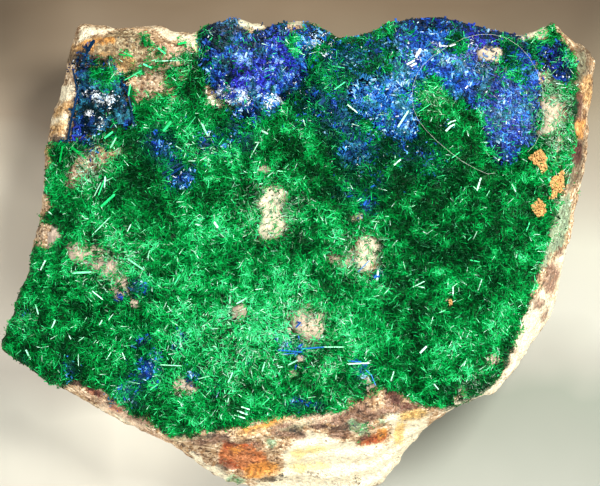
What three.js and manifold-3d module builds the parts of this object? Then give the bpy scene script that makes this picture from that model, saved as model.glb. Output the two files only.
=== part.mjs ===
// A hand specimen of brochantite: a broken slab of altered host rock, lying on its back, whose front
// is felted over with green needle crystals, with blue azurite crusts along its upper edge.
// Millimetres. +X is the specimen's right, +Y its upper edge as it is shown, +Z out of the front.
import * as THREE from "three";
import { mergeVertices } from "three/addons/utils/BufferGeometryUtils.js";
import Module from "manifold-3d";

const wasm = await Module();
wasm.setup();

// Driving dimensions
const bedHeight = 13.4; // from the resting face up to the rock under the crusts
const contactGap = 0.3; // between touching pieces
const feltCrust = { thickness: 1.5, grid: 1.95, needles: 64, seed: 21, needleSeed: 4 };
const azuriteCrusts = { thickness: 1.25, grid: 1.6 };
const windowRise = 1.15; // bare rock in the crusts' windows, above the rest of the front
const windowBevel = 0.4;
const edgeClearance = 0.9; // from a crystal's foot to its crust's edge
const rimStep = 3.4; // longest stretch of the rock's rim with no vertex

// The rock's front: how it swells towards its middle, and its two sizes of waves
const bed = {
  grid: 3.2,
  low: [-32, -28.8],
  high: [32, 25.6],
  crown: 0.9,
  crownRadius: 27,
  middle: 0.5, // above the height at which the crown ends
  waves: [
    { size: 9, rise: 0.45, seed: 5, start: [3.1, 1.7] },
    { size: 4, rise: 0.2, seed: 8, start: [0, 0] },
  ],
};

// A crust's own surface: its tufts, and how it thins towards its edge
const relief = {
  edgeWidth: 2.2,
  edgeShare: 0.5,
  tufts: [
    { size: 4.2, rise: 0.42 },
    { size: 2, rise: 0.2 },
  ],
};

// Crystals that stand clear of a crust: the least and the most of each measure
const lyingNeedles = { sides: 4, lean: [60, 80], width: [0.38, 0.6], length: [1.9, 3.4], sunk: 0.6 };
const azuriteBlocks = { side: [0.7, 1.25], width: 0.7, height: 0.8, tip: 0.9, sunk: 0.1 };
const triesForEach = 60;

// Heights and sizes of what only cuts or is cut away
const cutReach = 8; // above and below the front
const farAway = 30;
const chipBlock = 60;
const plinthFoot = 2; // sunk in the rock
const weldDistance = 1e-4;

// The rock's silhouette, clockwise from the upper left corner: x, y, and how far below the front
// the rock is at its widest there.
const rim = [
  [-22.0, 21.7, 2.0], [-18.2, 21.2, 1.6], [-14.2, 21.5, 2.0], [-12.6, 20.9, 1.4],
  [-10.8, 20.9, 1.0], [-9.2, 21.8, 0.8], [-6.0, 22.3, 1.0], [-3.4, 21.4, 1.0],
  [-1.2, 21.9, 1.0], [0.8, 21.9, 0.8], [3.8, 20.2, 1.0], [6.4, 20.6, 1.0],
  [9.2, 21.8, 1.0], [14.3, 22.4, 1.0], [16.8, 21.7, 0.8], [19.2, 21.0, 0.8],
  [22.2, 20.6, 1.2], [25.6, 21.6, 1.0], [27.6, 19.7, 3.0], [28.9, 19.8, 4.0],
  [29.7, 18.5, 5.0], [28.9, 13.3, 6.5], [28.8, 9.0, 6.5], [27.7, 3.8, 6.0],
  [26.6, -1.2, 6.5], [25.7, -4.8, 7.0], [24.9, -7.2, 7.0], [23.0, -10.2, 6.0],
  [21.6, -12.4, 5.0], [19.5, -14.7, 3.5], [16.6, -15.7, 2.5], [13.3, -17.7, 4.0],
  [11.7, -19.4, 6.5], [9.9, -22.3, 9.0], [8.2, -24.6, 10.0], [4.6, -25.9, 10.5],
  [-2.4, -26.0, 10.5], [-6.2, -25.1, 10.0], [-9.5, -22.5, 8.0], [-11.4, -20.9, 5.5],
  [-13.3, -19.9, 2.5], [-17.2, -17.9, 3.5], [-21.5, -15.5, 3.0], [-25.8, -13.4, 1.0],
  [-29.8, -10.4, 0.8], [-28.9, -8.4, 0.8], [-27.9, -5.4, 0.8], [-26.8, -3.0, 0.8],
  [-26.7, -0.4, 0.8], [-25.8, 3.4, 1.5], [-25.3, 6.6, 1.0], [-25.6, 8.8, 3.0],
  [-24.7, 13.0, 4.0], [-23.4, 16.0, 3.0], [-22.8, 19.2, 1.5],
];

// The edge of the rock's front, where its broken sides begin
const frontEdge = [
  [-21.8, 20.6], [-18.0, 20.8], [-15.0, 21.0], [-12.6, 20.2], [-10.0, 20.9], [-6.0, 21.8],
  [-3.4, 20.9], [0.8, 21.4], [3.9, 19.8], [6.4, 20.2], [9.2, 21.3], [14.3, 22.0],
  [19.0, 20.6], [22.0, 20.1], [25.5, 21.0], [26.6, 19.6], [27.5, 18.0], [27.3, 10.0],
  [26.2, 5.4], [24.6, 0.4], [23.4, -4.0], [21.5, -9.2], [20.9, -11.8], [19.2, -14.2],
  [14.6, -16.3], [10.0, -16.9], [3.0, -17.1], [-2.5, -17.6], [-6.5, -18.7], [-12.9, -19.7],
  [-14.6, -18.2], [-19.2, -15.5], [-22.5, -13.8], [-25.8, -13.0], [-29.3, -10.3],
  [-27.5, -5.5], [-26.3, -2.6], [-25.2, 4.2], [-24.9, 7.6], [-23.8, 10.6], [-22.7, 14.8],
  [-22.6, 18.6],
];

// The strata that the sides broke along, from the front down: height above the resting face of
// each layer's top, and how far its broken edge wanders in and out
const strata = [
  { top: 12.5, wander: 0.3 },
  { top: 11.1, wander: 0.5 },
  { top: 9.3, wander: 0.6 },
  { top: 7.4, wander: 0.7 },
  { top: 5.2, wander: 0.7 },
  { top: 2.9, wander: 0.8 },
];
const ledgeDrop = 0.35; // height of the sloping tread between two layers
const wallSlope = 0.4; // how far a layer's broken edge leans with the whole side: 0 upright, 1 fully
const backShare = 0.86; // how much of the silhouette is left at the resting face
const sideCurve = { aboveWidest: 0.85, belowWidest: 1.6 };
const cap = { above: 6, start: 0.2, wander: 0.1 }; // over the front, where it is cut off again
const foot = { height: 1.6, wander: 0.4, seed: 9 };
const breaks = [
  { share: 0.65, corners: 23, seed: 0 },
  { share: 0.35, corners: 53, seed: 40 },
];

// Flat breaks round the resting face: which way each looks in degrees, how far out it starts, and
// how steeply it looks down
const backChips = [
  [4, 17.5, 62], [47, 20, 66], [88, 15.5, 64], [128, 19, 58], [171, 18.5, 66], [206, 17, 60],
  [243, 15, 63], [281, 16.5, 68], [318, 17, 57],
];

// The bare ledge of rock at the upper left, which stands above the front
const ledge = {
  rise: 1.15,
  outline: [
    [-21.4, 20.3], [-15.2, 20.5], [-12.6, 19.7], [-10.4, 20.2], [-9.9, 18.9], [-11.6, 18.2],
    [-13.8, 17.6], [-16.4, 18.0], [-18.9, 18.7], [-22.0, 18.6],
  ],
};

// Windows in the crusts, where bare rock stands up through them
const windows = {
  middle: [
    [-3.7, 5.8], [-2.5, 5.9], [-1.6, 5.1], [-1.6, 3.8], [-2.2, 3.1], [-1.2, 2.2], [-1.5, 1.2],
    [-3.4, 0.1], [-4.3, 1.0], [-3.7, 2.8], [-4.4, 4.2],
  ],
  rightOfMiddle: [
    [6.2, 0.7], [7.3, 0.7], [8.1, -0.6], [7.5, -2.7], [5.6, -2.9], [3.2, -2.4], [2.8, -1.3],
    [5.5, -1.4], [5.6, -0.2],
  ],
  low: [
    [-0.4, -6.3], [0.8, -5.8], [2.2, -6.9], [2.4, -8.2], [1.8, -9.9], [0.3, -9.4], [-0.8, -8.2],
  ],
  upperLeft: [
    [-22.4, 8.6], [-21.4, 9.5], [-19.8, 9.7], [-18.7, 8.9], [-19.4, 7.2], [-21.2, 6.0], [-23.0, 5.8],
  ],
  amongAzurite: [[17.9, 19.6], [20.3, 19.3], [20.4, 18.2], [18.0, 18.1]],
  besideAzurite: [[23.9, 14.3], [25.6, 14.2], [25.8, 12.0], [25.0, 10.5], [24.1, 11.0], [24.7, 12.6]],
};

// Outlines of the azurite crusts
const azuriteLeft = [
  [-9.8, 20.6], [-8.0, 21.3], [-6.0, 21.4], [-3.6, 20.5], [-1.4, 21.0], [1.0, 20.9],
  [2.3, 19.8], [1.2, 19.0], [0.8, 17.5], [0.4, 15.8], [-1.0, 13.8], [-2.2, 12.4],
  [-5.4, 11.4], [-6.6, 13.4], [-8.6, 14.8], [-9.8, 17.4],
];
const azuriteRight = [
  [9.8, 21.1], [14.3, 21.6], [17.6, 20.8], [21.0, 20.0], [23.2, 19.2], [24.0, 17.4],
  [24.4, 14.4], [24.2, 11.6], [23.2, 9.6], [21.2, 8.0], [19.4, 7.8], [18.6, 10.4],
  [17.8, 13.4], [15.4, 14.0], [13.6, 15.4], [12.1, 15.2], [11.9, 12.4], [11.6, 10.4],
  [9.6, 10.3], [7.6, 11.6], [5.0, 13.6], [5.3, 15.6], [8.6, 17.0], [9.4, 18.8],
];
const azuriteCorner = [
  [-22.4, 17.9], [-20.4, 17.8], [-18.8, 17.6], [-17.8, 15.6], [-16.8, 13.2], [-16.6, 11.9],
  [-19.6, 11.4], [-21.8, 10.4], [-23.2, 10.6], [-22.4, 13.4], [-22.3, 15.6],
];
const azuriteEdge = [
  [24.9, 19.9], [25.9, 19.5], [26.8, 18.1], [27.0, 16.2], [26.0, 15.9], [25.2, 16.6],
];
const azuritePlaces = {
  left: { outline: azuriteLeft, blocks: 11, seed: 31 },
  right: { outline: azuriteRight, blocks: 18, seed: 33 },
  corner: { outline: azuriteCorner, blocks: 5, seed: 35 },
  edge: { outline: azuriteEdge, blocks: 2, seed: 37 },
};

// Where the felt ends: the front's edge, short of the bare rock at the upper left and lower right
const feltOutline = [
  [-9.2, 20.8], [-6.0, 21.5], [-3.4, 20.6], [0.8, 21.1], [3.9, 19.5], [6.4, 19.9],
  [9.2, 21.0], [14.3, 21.7], [19.0, 20.3], [22.0, 19.8], [25.4, 20.6], [26.3, 19.4],
  [27.1, 17.9], [26.9, 10.0], [25.8, 5.4], [24.2, 0.4], [23.0, -4.0], [21.1, -9.0],
  [20.5, -11.6], [18.9, -13.9], [14.4, -16.0], [12.2, -15.8], [10.6, -15.3], [9.0, -15.0],
  [7.6, -14.6], [6.4, -15.7], [3.0, -16.7], [-2.5, -17.2], [-6.5, -18.3], [-12.8, -19.3],
  [-14.2, -17.9], [-19.0, -15.0], [-22.5, -13.4], [-25.7, -12.6], [-28.9, -10.2],
  [-27.1, -5.5], [-25.9, -2.6], [-24.8, 4.2], [-24.5, 7.6], [-23.8, 9.8], [-16.4, 10.9],
  [-15.8, 13.2], [-12.0, 13.4], [-11.8, 16.4], [-10.0, 17.6],
];

// A repeatable number from -1 to 1 for one point of a lattice
const lattice = { alongX: 127.1, alongY: 311.7, bySeed: 74.7, spread: 43758.5453 };
function latticeValue(i, j, seed) {
  const phase = i * lattice.alongX + j * lattice.alongY + seed * lattice.bySeed;
  const turns = Math.sin(phase) * lattice.spread;
  return 2 * (turns - Math.floor(turns)) - 1;
}

// Repeatable numbers from 0 to 1
function seededRandom(seed) {
  let drawn = 0;
  return () => {
    drawn += 1;
    return (latticeValue(drawn, seed, seed) + 1) / 2;
  };
}

// The value that lies a share of the way along a range
function within([least, most], share) {
  return THREE.MathUtils.lerp(least, most, share);
}

// Smooth noise from -1 to 1, with about one hump to a unit of x and y
function noise(x, y, seed) {
  const i = Math.floor(x);
  const j = Math.floor(y);
  const u = THREE.MathUtils.smoothstep(x - i, 0, 1);
  const v = THREE.MathUtils.smoothstep(y - j, 0, 1);
  const low = THREE.MathUtils.lerp(latticeValue(i, j, seed), latticeValue(i + 1, j, seed), u);
  const high = THREE.MathUtils.lerp(latticeValue(i, j + 1, seed), latticeValue(i + 1, j + 1, seed), u);
  return THREE.MathUtils.lerp(low, high, v);
}

// Noise with flat stretches between few corners, as broken rock has, along a closed line of length 1
function brokenEdge(share, corners, seed) {
  const at = share * corners;
  const i = Math.floor(at);
  const here = latticeValue(i % corners, 0, seed);
  const next = latticeValue((i + 1) % corners, 0, seed);
  return THREE.MathUtils.lerp(here, next, at - i);
}

// How far a point lies inside an outline, or 0 outside it
function depthInside(outline, x, y) {
  let nearest = Infinity;
  let inside = false;
  outline.forEach(([ax, ay], i) => {
    const [bx, by] = outline[(i + 1) % outline.length];
    const along = ((x - ax) * (bx - ax) + (y - ay) * (by - ay)) / ((bx - ax) ** 2 + (by - ay) ** 2);
    const t = THREE.MathUtils.clamp(along, 0, 1);
    nearest = Math.min(nearest, Math.hypot(x - ax - t * (bx - ax), y - ay - t * (by - ay)));
    if (ay > y !== by > y && x < ax + ((y - ay) / (by - ay)) * (bx - ax)) inside = !inside;
  });
  return inside ? nearest : 0;
}

// The distance from the middle to an outline, in the direction of an angle
function reachOf(outline, angle) {
  const dx = Math.cos(angle);
  const dy = Math.sin(angle);
  let reach = 0;
  outline.forEach(([ax, ay], i) => {
    const [bx, by] = outline[(i + 1) % outline.length];
    const cross = dx * (by - ay) - dy * (bx - ax);
    const far = (ax * (by - ay) - ay * (bx - ax)) / cross;
    const along = (ax * dy - ay * dx) / cross;
    if (far > 0 && along >= 0 && along <= 1) reach = Math.max(reach, far);
  });
  return reach;
}

// Height of the rock's front at a point of its grid
function bedAtCorner(x, y) {
  const fall = bed.crown * ((x * x + y * y) / bed.crownRadius ** 2);
  let height = bedHeight + bed.middle - fall;
  for (const { size, rise, seed, start } of bed.waves) {
    height += rise * noise(x / size + start[0], y / size + start[1], seed);
  }
  return height;
}

// A closed three.js geometry as a solid that can be cut and joined
function solidOf(geometry) {
  const bare = geometry.index ? geometry.toNonIndexed() : geometry.clone();
  for (const name of Object.keys(bare.attributes)) {
    if (name !== "position") bare.deleteAttribute(name);
  }
  const merged = mergeVertices(bare, weldDistance);
  return new wasm.Manifold(
    new wasm.Mesh({
      numProp: 3,
      vertProperties: merged.attributes.position.array,
      triVerts: new Uint32Array(merged.index.array),
    }),
  );
}

// A solid between two surfaces over a square grid: lower(x, y) and upper(x, y) at its corners
function slabBetween(lower, upper, spacing, low, high) {
  const columns = Math.ceil((high[0] - low[0]) / spacing);
  const rows = Math.ceil((high[1] - low[1]) / spacing);
  const positions = [];
  const faces = [];
  for (const surface of [lower, upper]) {
    for (let j = 0; j <= rows; j++) {
      for (let i = 0; i <= columns; i++) {
        const x = low[0] + i * spacing;
        const y = low[1] + j * spacing;
        positions.push(x, y, surface(x, y));
      }
    }
  }
  const layer = (columns + 1) * (rows + 1);
  const at = (i, j, top) => j * (columns + 1) + i + (top ? layer : 0);
  const quad = (a, b, c, d) => faces.push(a, b, c, a, c, d);
  for (let j = 0; j < rows; j++) {
    for (let i = 0; i < columns; i++) {
      quad(at(i, j, true), at(i + 1, j, true), at(i + 1, j + 1, true), at(i, j + 1, true));
      faces.push(at(i, j), at(i + 1, j + 1), at(i + 1, j), at(i, j), at(i, j + 1), at(i + 1, j + 1));
    }
  }
  for (let i = 0; i < columns; i++) {
    quad(at(i, 0), at(i + 1, 0), at(i + 1, 0, true), at(i, 0, true));
    quad(at(i + 1, rows), at(i, rows), at(i, rows, true), at(i + 1, rows, true));
  }
  for (let j = 0; j < rows; j++) {
    quad(at(columns, j), at(columns, j + 1), at(columns, j + 1, true), at(columns, j, true));
    quad(at(0, j + 1), at(0, j), at(0, j, true), at(0, j + 1, true));
  }
  const geometry = new THREE.BufferGeometry();
  geometry.setAttribute("position", new THREE.Float32BufferAttribute(positions, 3));
  geometry.setIndex(faces);
  return solidOf(geometry);
}

// Everything above the rock's front
function aboveBed() {
  return slabBetween(bedAtCorner, () => bedHeight + farAway, bed.grid, bed.low, bed.high);
}

// Everything below the crusts' undersides, which follow the rock's front
function belowCrusts() {
  const underside = (x, y) => bedAtCorner(x, y) + contactGap;
  return slabBetween(() => bedHeight - farAway, underside, bed.grid, bed.low, bed.high);
}

// A vertical prism through the crusts, over an outline that may be widened
function prism(outline, grow = 0) {
  const points = outline.map(([x, y]) => new THREE.Vector2(x, y));
  if (THREE.ShapeUtils.isClockWise(points)) points.reverse();
  const moved = points.map((point, i) => {
    const before = points.at(i - 1);
    const after = points[(i + 1) % points.length];
    const normals = [point.clone().sub(before), after.clone().sub(point)].map((edge) =>
      new THREE.Vector2(edge.y, -edge.x).normalize(),
    );
    const miter = normals[0].add(normals[1]).normalize();
    return point.clone().addScaledVector(miter, grow);
  });
  const geometry = new THREE.ExtrudeGeometry(new THREE.Shape(moved), {
    depth: 2 * cutReach,
    bevelEnabled: false,
  });
  return solidOf(geometry.translate(0, 0, bedHeight - cutReach));
}

// The rim with enough points on its long stretches, each with the front's reach beside it
function rimStations() {
  const stations = [];
  rim.forEach((start, i) => {
    const end = rim[(i + 1) % rim.length];
    const pieces = Math.ceil(Math.hypot(end[0] - start[0], end[1] - start[1]) / rimStep);
    for (let k = 0; k < pieces; k++) {
      const [x, y, drop] = start.map((value, axis) => THREE.MathUtils.lerp(value, end[axis], k / pieces));
      const angle = Math.atan2(y, x);
      stations.push({ angle, widest: Math.hypot(x, y), drop, front: reachOf(frontEdge, angle) });
    }
  });
  return stations.reverse();
}

// How far out the rock's side stands at a height, before its layers are broken
function sideReach(station, height) {
  const widestHeight = bedHeight - station.drop;
  if (height >= widestHeight) {
    const t = THREE.MathUtils.clamp((bedHeight - height) / station.drop, 0, 1);
    return THREE.MathUtils.lerp(station.front, station.widest, t ** sideCurve.aboveWidest);
  }
  const t = (widestHeight - height) / widestHeight;
  return station.widest * THREE.MathUtils.lerp(1, backShare, t ** sideCurve.belowWidest);
}

// The slab's body: layer upon layer with broken edges, from the resting face to above the front
function layeredBody() {
  const stations = rimStations();
  const count = stations.length;
  const rings = [];
  const ringAt = (height, middle, wander, layer) =>
    rings.push(
      stations.map((station, i) => {
        let broken = 0;
        for (const { share, corners, seed } of breaks) {
          broken += share * brokenEdge(i / count, corners, layer + seed);
        }
        const slopeHeight = THREE.MathUtils.lerp(middle, height, wallSlope);
        const reach = Math.min(sideReach(station, slopeHeight) + wander * broken, station.widest);
        return [reach * Math.cos(station.angle), reach * Math.sin(station.angle), height];
      }),
    );
  const capTop = bedHeight + cap.above;
  ringAt(capTop, capTop, 0, 0);
  ringAt(bedHeight - cap.start, bedHeight, cap.wander, 0);
  strata.forEach(({ top, wander }, layer) => {
    const bottom = layer + 1 < strata.length ? strata[layer + 1].top + ledgeDrop : foot.height;
    const middle = (top + bottom) / 2;
    ringAt(top, middle, wander, layer + 1);
    ringAt(bottom, middle, wander, layer + 1);
  });
  ringAt(0, 0, foot.wander, foot.seed);
  const middleTop = rings.length * count;
  const positions = [...rings.flat(2), 0, 0, capTop, 0, 0, 0];
  const faces = [];
  for (let i = 0; i < count; i++) {
    const next = (i + 1) % count;
    faces.push(middleTop, i, next);
    for (let k = 0; k + 1 < rings.length; k++) {
      const upper = k * count;
      const lower = upper + count;
      faces.push(upper + i, lower + i, lower + next, upper + i, lower + next, upper + next);
    }
    const last = (rings.length - 1) * count;
    faces.push(middleTop + 1, last + next, last + i);
  }
  const geometry = new THREE.BufferGeometry();
  geometry.setAttribute("position", new THREE.Float32BufferAttribute(positions, 3));
  geometry.setIndex(faces);
  return solidOf(geometry);
}

// A rock plinth over an outline, with its upper edge broken off at a slope
function plinth(outline, top) {
  const bottom = bedHeight - plinthFoot;
  const shape = new THREE.Shape(outline.map(([x, y]) => new THREE.Vector2(x, y)));
  const geometry = new THREE.ExtrudeGeometry(shape, {
    depth: top - bottom - windowBevel,
    bevelThickness: windowBevel,
    bevelSize: windowBevel,
    bevelOffset: -windowBevel,
    bevelSegments: 1,
  });
  return solidOf(geometry.translate(0, 0, bottom));
}

// Everything beyond a plane that looks outward and down
function beyondChip([facing, start, dip]) {
  const block = new THREE.BoxGeometry(chipBlock, chipBlock, chipBlock).translate(chipBlock / 2, 0, 0);
  block.rotateY(THREE.MathUtils.degToRad(dip)).translate(start, 0, 0);
  return solidOf(block.rotateZ(THREE.MathUtils.degToRad(facing)));
}

// The host rock, with its ledges, the breaks behind it and what shows through the crusts
function matrixRock() {
  let rock = layeredBody().subtract(aboveBed());
  for (const chip of backChips) rock = rock.subtract(beyondChip(chip));
  rock = rock.add(plinth(ledge.outline, bedHeight + ledge.rise));
  for (const outline of Object.values(windows)) {
    const top = bedAtCorner(...outline[0]) + windowRise;
    rock = rock.add(plinth(outline, top));
  }
  return rock;
}

// One crystal: a square needle with a short point, standing on its foot
function needle(length, width) {
  const half = width / 2;
  const profile = [[0, 0], [half, 0], [half, length - width], [0, length]];
  return new THREE.LatheGeometry(profile.map(([r, h]) => new THREE.Vector2(r, h)), lyingNeedles.sides);
}

// A crust's upper surface: tufts and hollows, thinning towards its own edge
function crustTop(outline, thickness, seed) {
  return (x, y) => {
    const edge = THREE.MathUtils.smoothstep(depthInside(outline, x, y), 0, relief.edgeWidth);
    let height = bedAtCorner(x, y) + contactGap + thickness * within([relief.edgeShare, 1], edge);
    relief.tufts.forEach(({ size, rise }, k) => {
      height += rise * edge * noise(x / size, y / size, seed + k);
    });
    return height;
  };
}

// A crust on the rock's front: its outline, cut to follow the rock below and its own upper surface
function crust(outline, thickness, grid, seed) {
  const top = crustTop(outline, thickness, seed);
  const surface = slabBetween(() => bedHeight - farAway, top, grid, bed.low, bed.high);
  return { body: prism(outline).intersect(surface), top };
}

// Crystals lying on a crust, each with its foot sunk in it
function strewn(outline, top, count, seed, shape) {
  const random = seededRandom(seed);
  const xs = outline.map((point) => point[0]);
  const ys = outline.map((point) => point[1]);
  const placed = [];
  for (let tries = 0; tries < triesForEach * count && placed.length < count; tries++) {
    const x = within([Math.min(...xs), Math.max(...xs)], random());
    const y = within([Math.min(...ys), Math.max(...ys)], random());
    const turn = 2 * Math.PI * random();
    const size = random();
    if (depthInside(outline, x, y) < edgeClearance) continue;
    placed.push(shape(random, size).rotateZ(turn).translate(x, y, top(x, y)));
  }
  return placed;
}

// A needle that leans over until it nearly lies on the felt
function lyingNeedle(random, size) {
  const lean = THREE.MathUtils.degToRad(within(lyingNeedles.lean, random()));
  const width = within(lyingNeedles.width, random());
  const length = within(lyingNeedles.length, size);
  return needle(length, width).rotateX(Math.PI / 2 - lean).translate(0, 0, -width * lyingNeedles.sunk);
}

// A stubby azurite block with six flat faces, tipped on one corner
function azuriteBlock(random, size) {
  const { width, height, tip, sunk } = azuriteBlocks;
  const side = within(azuriteBlocks.side, size);
  const block = new THREE.BoxGeometry(side, side * width, side * height);
  return block.rotateX(tip * random()).rotateY(tip * random()).translate(0, 0, -sunk * side);
}

function joined(body, geometries) {
  return geometries.reduce((sum, geometry) => sum.add(solidOf(geometry)), body);
}

// Leaves room for the rock under a crust and for all of it that stands up through the crust
function clearOfRock(body) {
  let cleared = body.subtract(belowCrusts()).subtract(prism(ledge.outline, contactGap));
  for (const outline of Object.values(windows)) {
    cleared = cleared.subtract(prism(outline, contactGap));
  }
  return cleared;
}

function azuriteCrust({ outline, blocks, seed }) {
  const { body, top } = crust(outline, azuriteCrusts.thickness, azuriteCrusts.grid, seed);
  return clearOfRock(joined(body, strewn(outline, top, blocks, seed, azuriteBlock)));
}

function brochantiteFelt() {
  const { body, top } = crust(feltOutline, feltCrust.thickness, feltCrust.grid, feltCrust.seed);
  const needles = strewn(feltOutline, top, feltCrust.needles, feltCrust.needleSeed, lyingNeedle);
  let felt = joined(body, needles);
  for (const { outline } of Object.values(azuritePlaces)) felt = felt.subtract(prism(outline, contactGap));
  return clearOfRock(felt);
}

// The corner indices of the largest connected part of a solid, without the crumbs that a cut left
function mainPart(vertexCount, corners) {
  const leader = Array.from({ length: vertexCount }, (unused, i) => i);
  const leaderOf = (i) => {
    while (leader[i] !== i) i = leader[i];
    return i;
  };
  for (let k = 0; k < corners.length; k += 3) {
    for (const other of [corners[k + 1], corners[k + 2]]) {
      leader[leaderOf(other)] = leaderOf(corners[k]);
    }
  }
  const parts = new Map();
  for (const corner of corners) {
    const key = leaderOf(corner);
    if (!parts.has(key)) parts.set(key, []);
    parts.get(key).push(corner);
  }
  return [...parts.values()].reduce((best, part) => (part.length > best.length ? part : best));
}

// A solid's main part as a flat-shaded geometry
function geometryOf(solid) {
  const { vertProperties, triVerts } = solid.getMesh();
  const geometry = new THREE.BufferGeometry();
  geometry.setAttribute("position", new THREE.BufferAttribute(vertProperties, 3));
  geometry.setIndex(mainPart(geometry.attributes.position.count, Array.from(triVerts)));
  const flat = geometry.toNonIndexed();
  flat.computeVertexNormals();
  return flat;
}

const finishes = {
  stone: { color: 0xcdb594, roughness: 0.85, metalness: 0 },
  brochantite: { color: 0x0b7a3c, roughness: 0.45, metalness: 0 },
  azurite: { color: 0x1a35b0, roughness: 0.3, metalness: 0 },
};

const rockGeometry = geometryOf(matrixRock());
rockGeometry.computeBoundingBox();

// The origin is under the middle of the rock's own box
const origin = rockGeometry.boundingBox.getCenter(new THREE.Vector3()).setZ(rockGeometry.boundingBox.min.z);
const specimen = new THREE.Group();

function addPiece(name, geometry, finish) {
  const mesh = new THREE.Mesh(geometry, new THREE.MeshStandardMaterial(finish));
  mesh.name = name;
  mesh.position.copy(origin).negate();
  specimen.add(mesh);
}

addPiece("matrix_rock", rockGeometry, finishes.stone);
addPiece("brochantite_felt", geometryOf(brochantiteFelt()), finishes.brochantite);
for (const [place, settings] of Object.entries(azuritePlaces)) {
  addPiece("azurite_crust_" + place, geometryOf(azuriteCrust(settings)), finishes.azurite);
}

export default specimen;
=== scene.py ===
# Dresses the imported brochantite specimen: stained rock, a felt of green needles, azurite crusts,
# spots of limonite and a loose fibre. Lengths are metres; places are pixels of the photograph,
# whose scale on the specimen's front is one tenth of a millimetre to a pixel.
import math

import bpy
import numpy as np
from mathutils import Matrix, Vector
from mathutils.bvhtree import BVHTree


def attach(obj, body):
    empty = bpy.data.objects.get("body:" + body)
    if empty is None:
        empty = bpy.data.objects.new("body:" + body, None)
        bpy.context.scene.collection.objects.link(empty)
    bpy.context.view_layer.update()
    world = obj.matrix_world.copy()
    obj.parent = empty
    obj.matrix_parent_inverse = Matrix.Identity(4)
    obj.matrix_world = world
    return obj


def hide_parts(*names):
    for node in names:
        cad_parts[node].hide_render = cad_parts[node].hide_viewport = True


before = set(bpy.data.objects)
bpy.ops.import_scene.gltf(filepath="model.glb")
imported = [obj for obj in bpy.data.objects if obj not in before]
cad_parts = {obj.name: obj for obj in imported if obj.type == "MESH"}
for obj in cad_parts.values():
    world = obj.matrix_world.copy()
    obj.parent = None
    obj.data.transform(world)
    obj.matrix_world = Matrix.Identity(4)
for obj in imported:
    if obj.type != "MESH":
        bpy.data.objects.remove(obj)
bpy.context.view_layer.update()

mm = 0.001

photo = {
    "width": 600,
    "height": 486,
    "pixel": 0.1 * mm,
    "middle": (0.11 * mm, 1.51 * mm),  # where the picture's middle falls on the specimen
    "front": 15.2 * mm,  # the height above the floor that the scale holds at
    "lens": 450,  # long, so all of it is seen nearly square on
    "sensor": 36,
    "seen": (0.05, 5),  # from how near to how far
}


# Pixels of the photograph as places on the specimen
def atPixels(points):
    points = np.asarray(points, float)
    x = (points[..., 0] - photo["width"] / 2) * photo["pixel"] + photo["middle"][0]
    y = (photo["height"] / 2 - points[..., 1]) * photo["pixel"] + photo["middle"][1]
    return np.stack([x, y], -1)


# A repeatable number from -1 to 1 for each whole-numbered cell
def cellValue(cells, seed):
    mixed = (cells * np.array([374761393, 668265263, 1442695041])).sum(-1) + seed * 974634777
    mixed = (mixed ^ (mixed >> 13)) * 1274126177
    return ((mixed ^ (mixed >> 16)) & 0xFFFF) / 0x7FFF - 1.0


# Smooth noise from -1 to 1 with humps of a given size
def noise(points, size, seed, octaves=1):
    points = np.asarray(points, float)
    if points.shape[-1] == 2:
        points = np.concatenate([points, np.zeros(points.shape[:-1] + (1,))], -1)
    total = np.zeros(points.shape[:-1])
    weight = 0.0
    for octave in range(octaves):
        share = 0.5**octave
        scaled = points / (size * share)
        cell = np.floor(scaled).astype(np.int64)
        part = scaled - cell
        part = part * part * (3 - 2 * part)
        for corner in np.ndindex(2, 2, 2):
            corner = np.array(corner)
            blend = np.where(corner == 1, part, 1 - part).prod(-1)
            total += share * blend * cellValue(cell + corner, seed + octave)
        weight += share
    return total / weight


def smoothstep(low, high, value):
    t = np.clip((value - low) / (high - low), 0, 1)
    return t * t * (3 - 2 * t)


# How far inside an outline each place is, and less than nothing outside it
def reachInside(outline, places):
    nearest = np.full(len(places), 1.0)
    inside = np.zeros(len(places), bool)
    for start, end in zip(outline, np.roll(outline, -1, axis=0)):
        along = end - start
        t = np.clip(((places - start) @ along) / (along @ along), 0, 1)
        nearest = np.minimum(nearest, np.linalg.norm(places - start - t[:, None] * along, axis=1))
        crosses = (start[1] > places[:, 1]) != (end[1] > places[:, 1])
        slope = along[0] / along[1] if along[1] else 0.0
        inside ^= crosses & (places[:, 0] < start[0] + (places[:, 1] - start[1]) * slope)
    return np.where(inside, nearest, -nearest)


# The edges of patches: how soft and how ragged each kind is, and its seed
edges = {
    "windows": (1.1 * mm, 0.7 * mm, 41),
    "felt": (0.5 * mm, 0.5 * mm, 19),
    "azurite": (0.6 * mm, 1.0 * mm, 21),
    "islands": (0.5 * mm, 0.7 * mm, 31),
    "limonite": (0.15 * mm, 0.12 * mm, 51),
    "stains": (0.8 * mm, 0.4 * mm, 0),
    "rosyGround": (0.8 * mm, 0.4 * mm, 1),
}
edgeLobes = 0.9 * mm


# How strongly a ragged patch shows at each place, from 0 to 1
def patchShare(outline, places, soft, ragged, seed):
    reach = reachInside(atPixels(outline), places) + ragged * noise(places, edgeLobes, seed, 2)
    return np.clip(reach / soft + 0.5, 0, 1)


# The greatest share that any of some patches has at each place
def greatestShare(outlines, places, soft, ragged, seed):
    share = np.zeros(len(places))
    for k, outline in enumerate(outlines):
        share = np.maximum(share, patchShare(outline, places, soft, ragged, seed + k))
    return share


# The sum of soft round zones: each is x, y and radius in pixels, and a strength
def zoneSum(zones, places):
    total = np.zeros(len(places))
    for x, y, radius, strength in zones:
        away = np.linalg.norm(places - atPixels((x, y)), axis=1) / (radius * photo["pixel"])
        total += strength * np.exp(-away * away)
    return total


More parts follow.
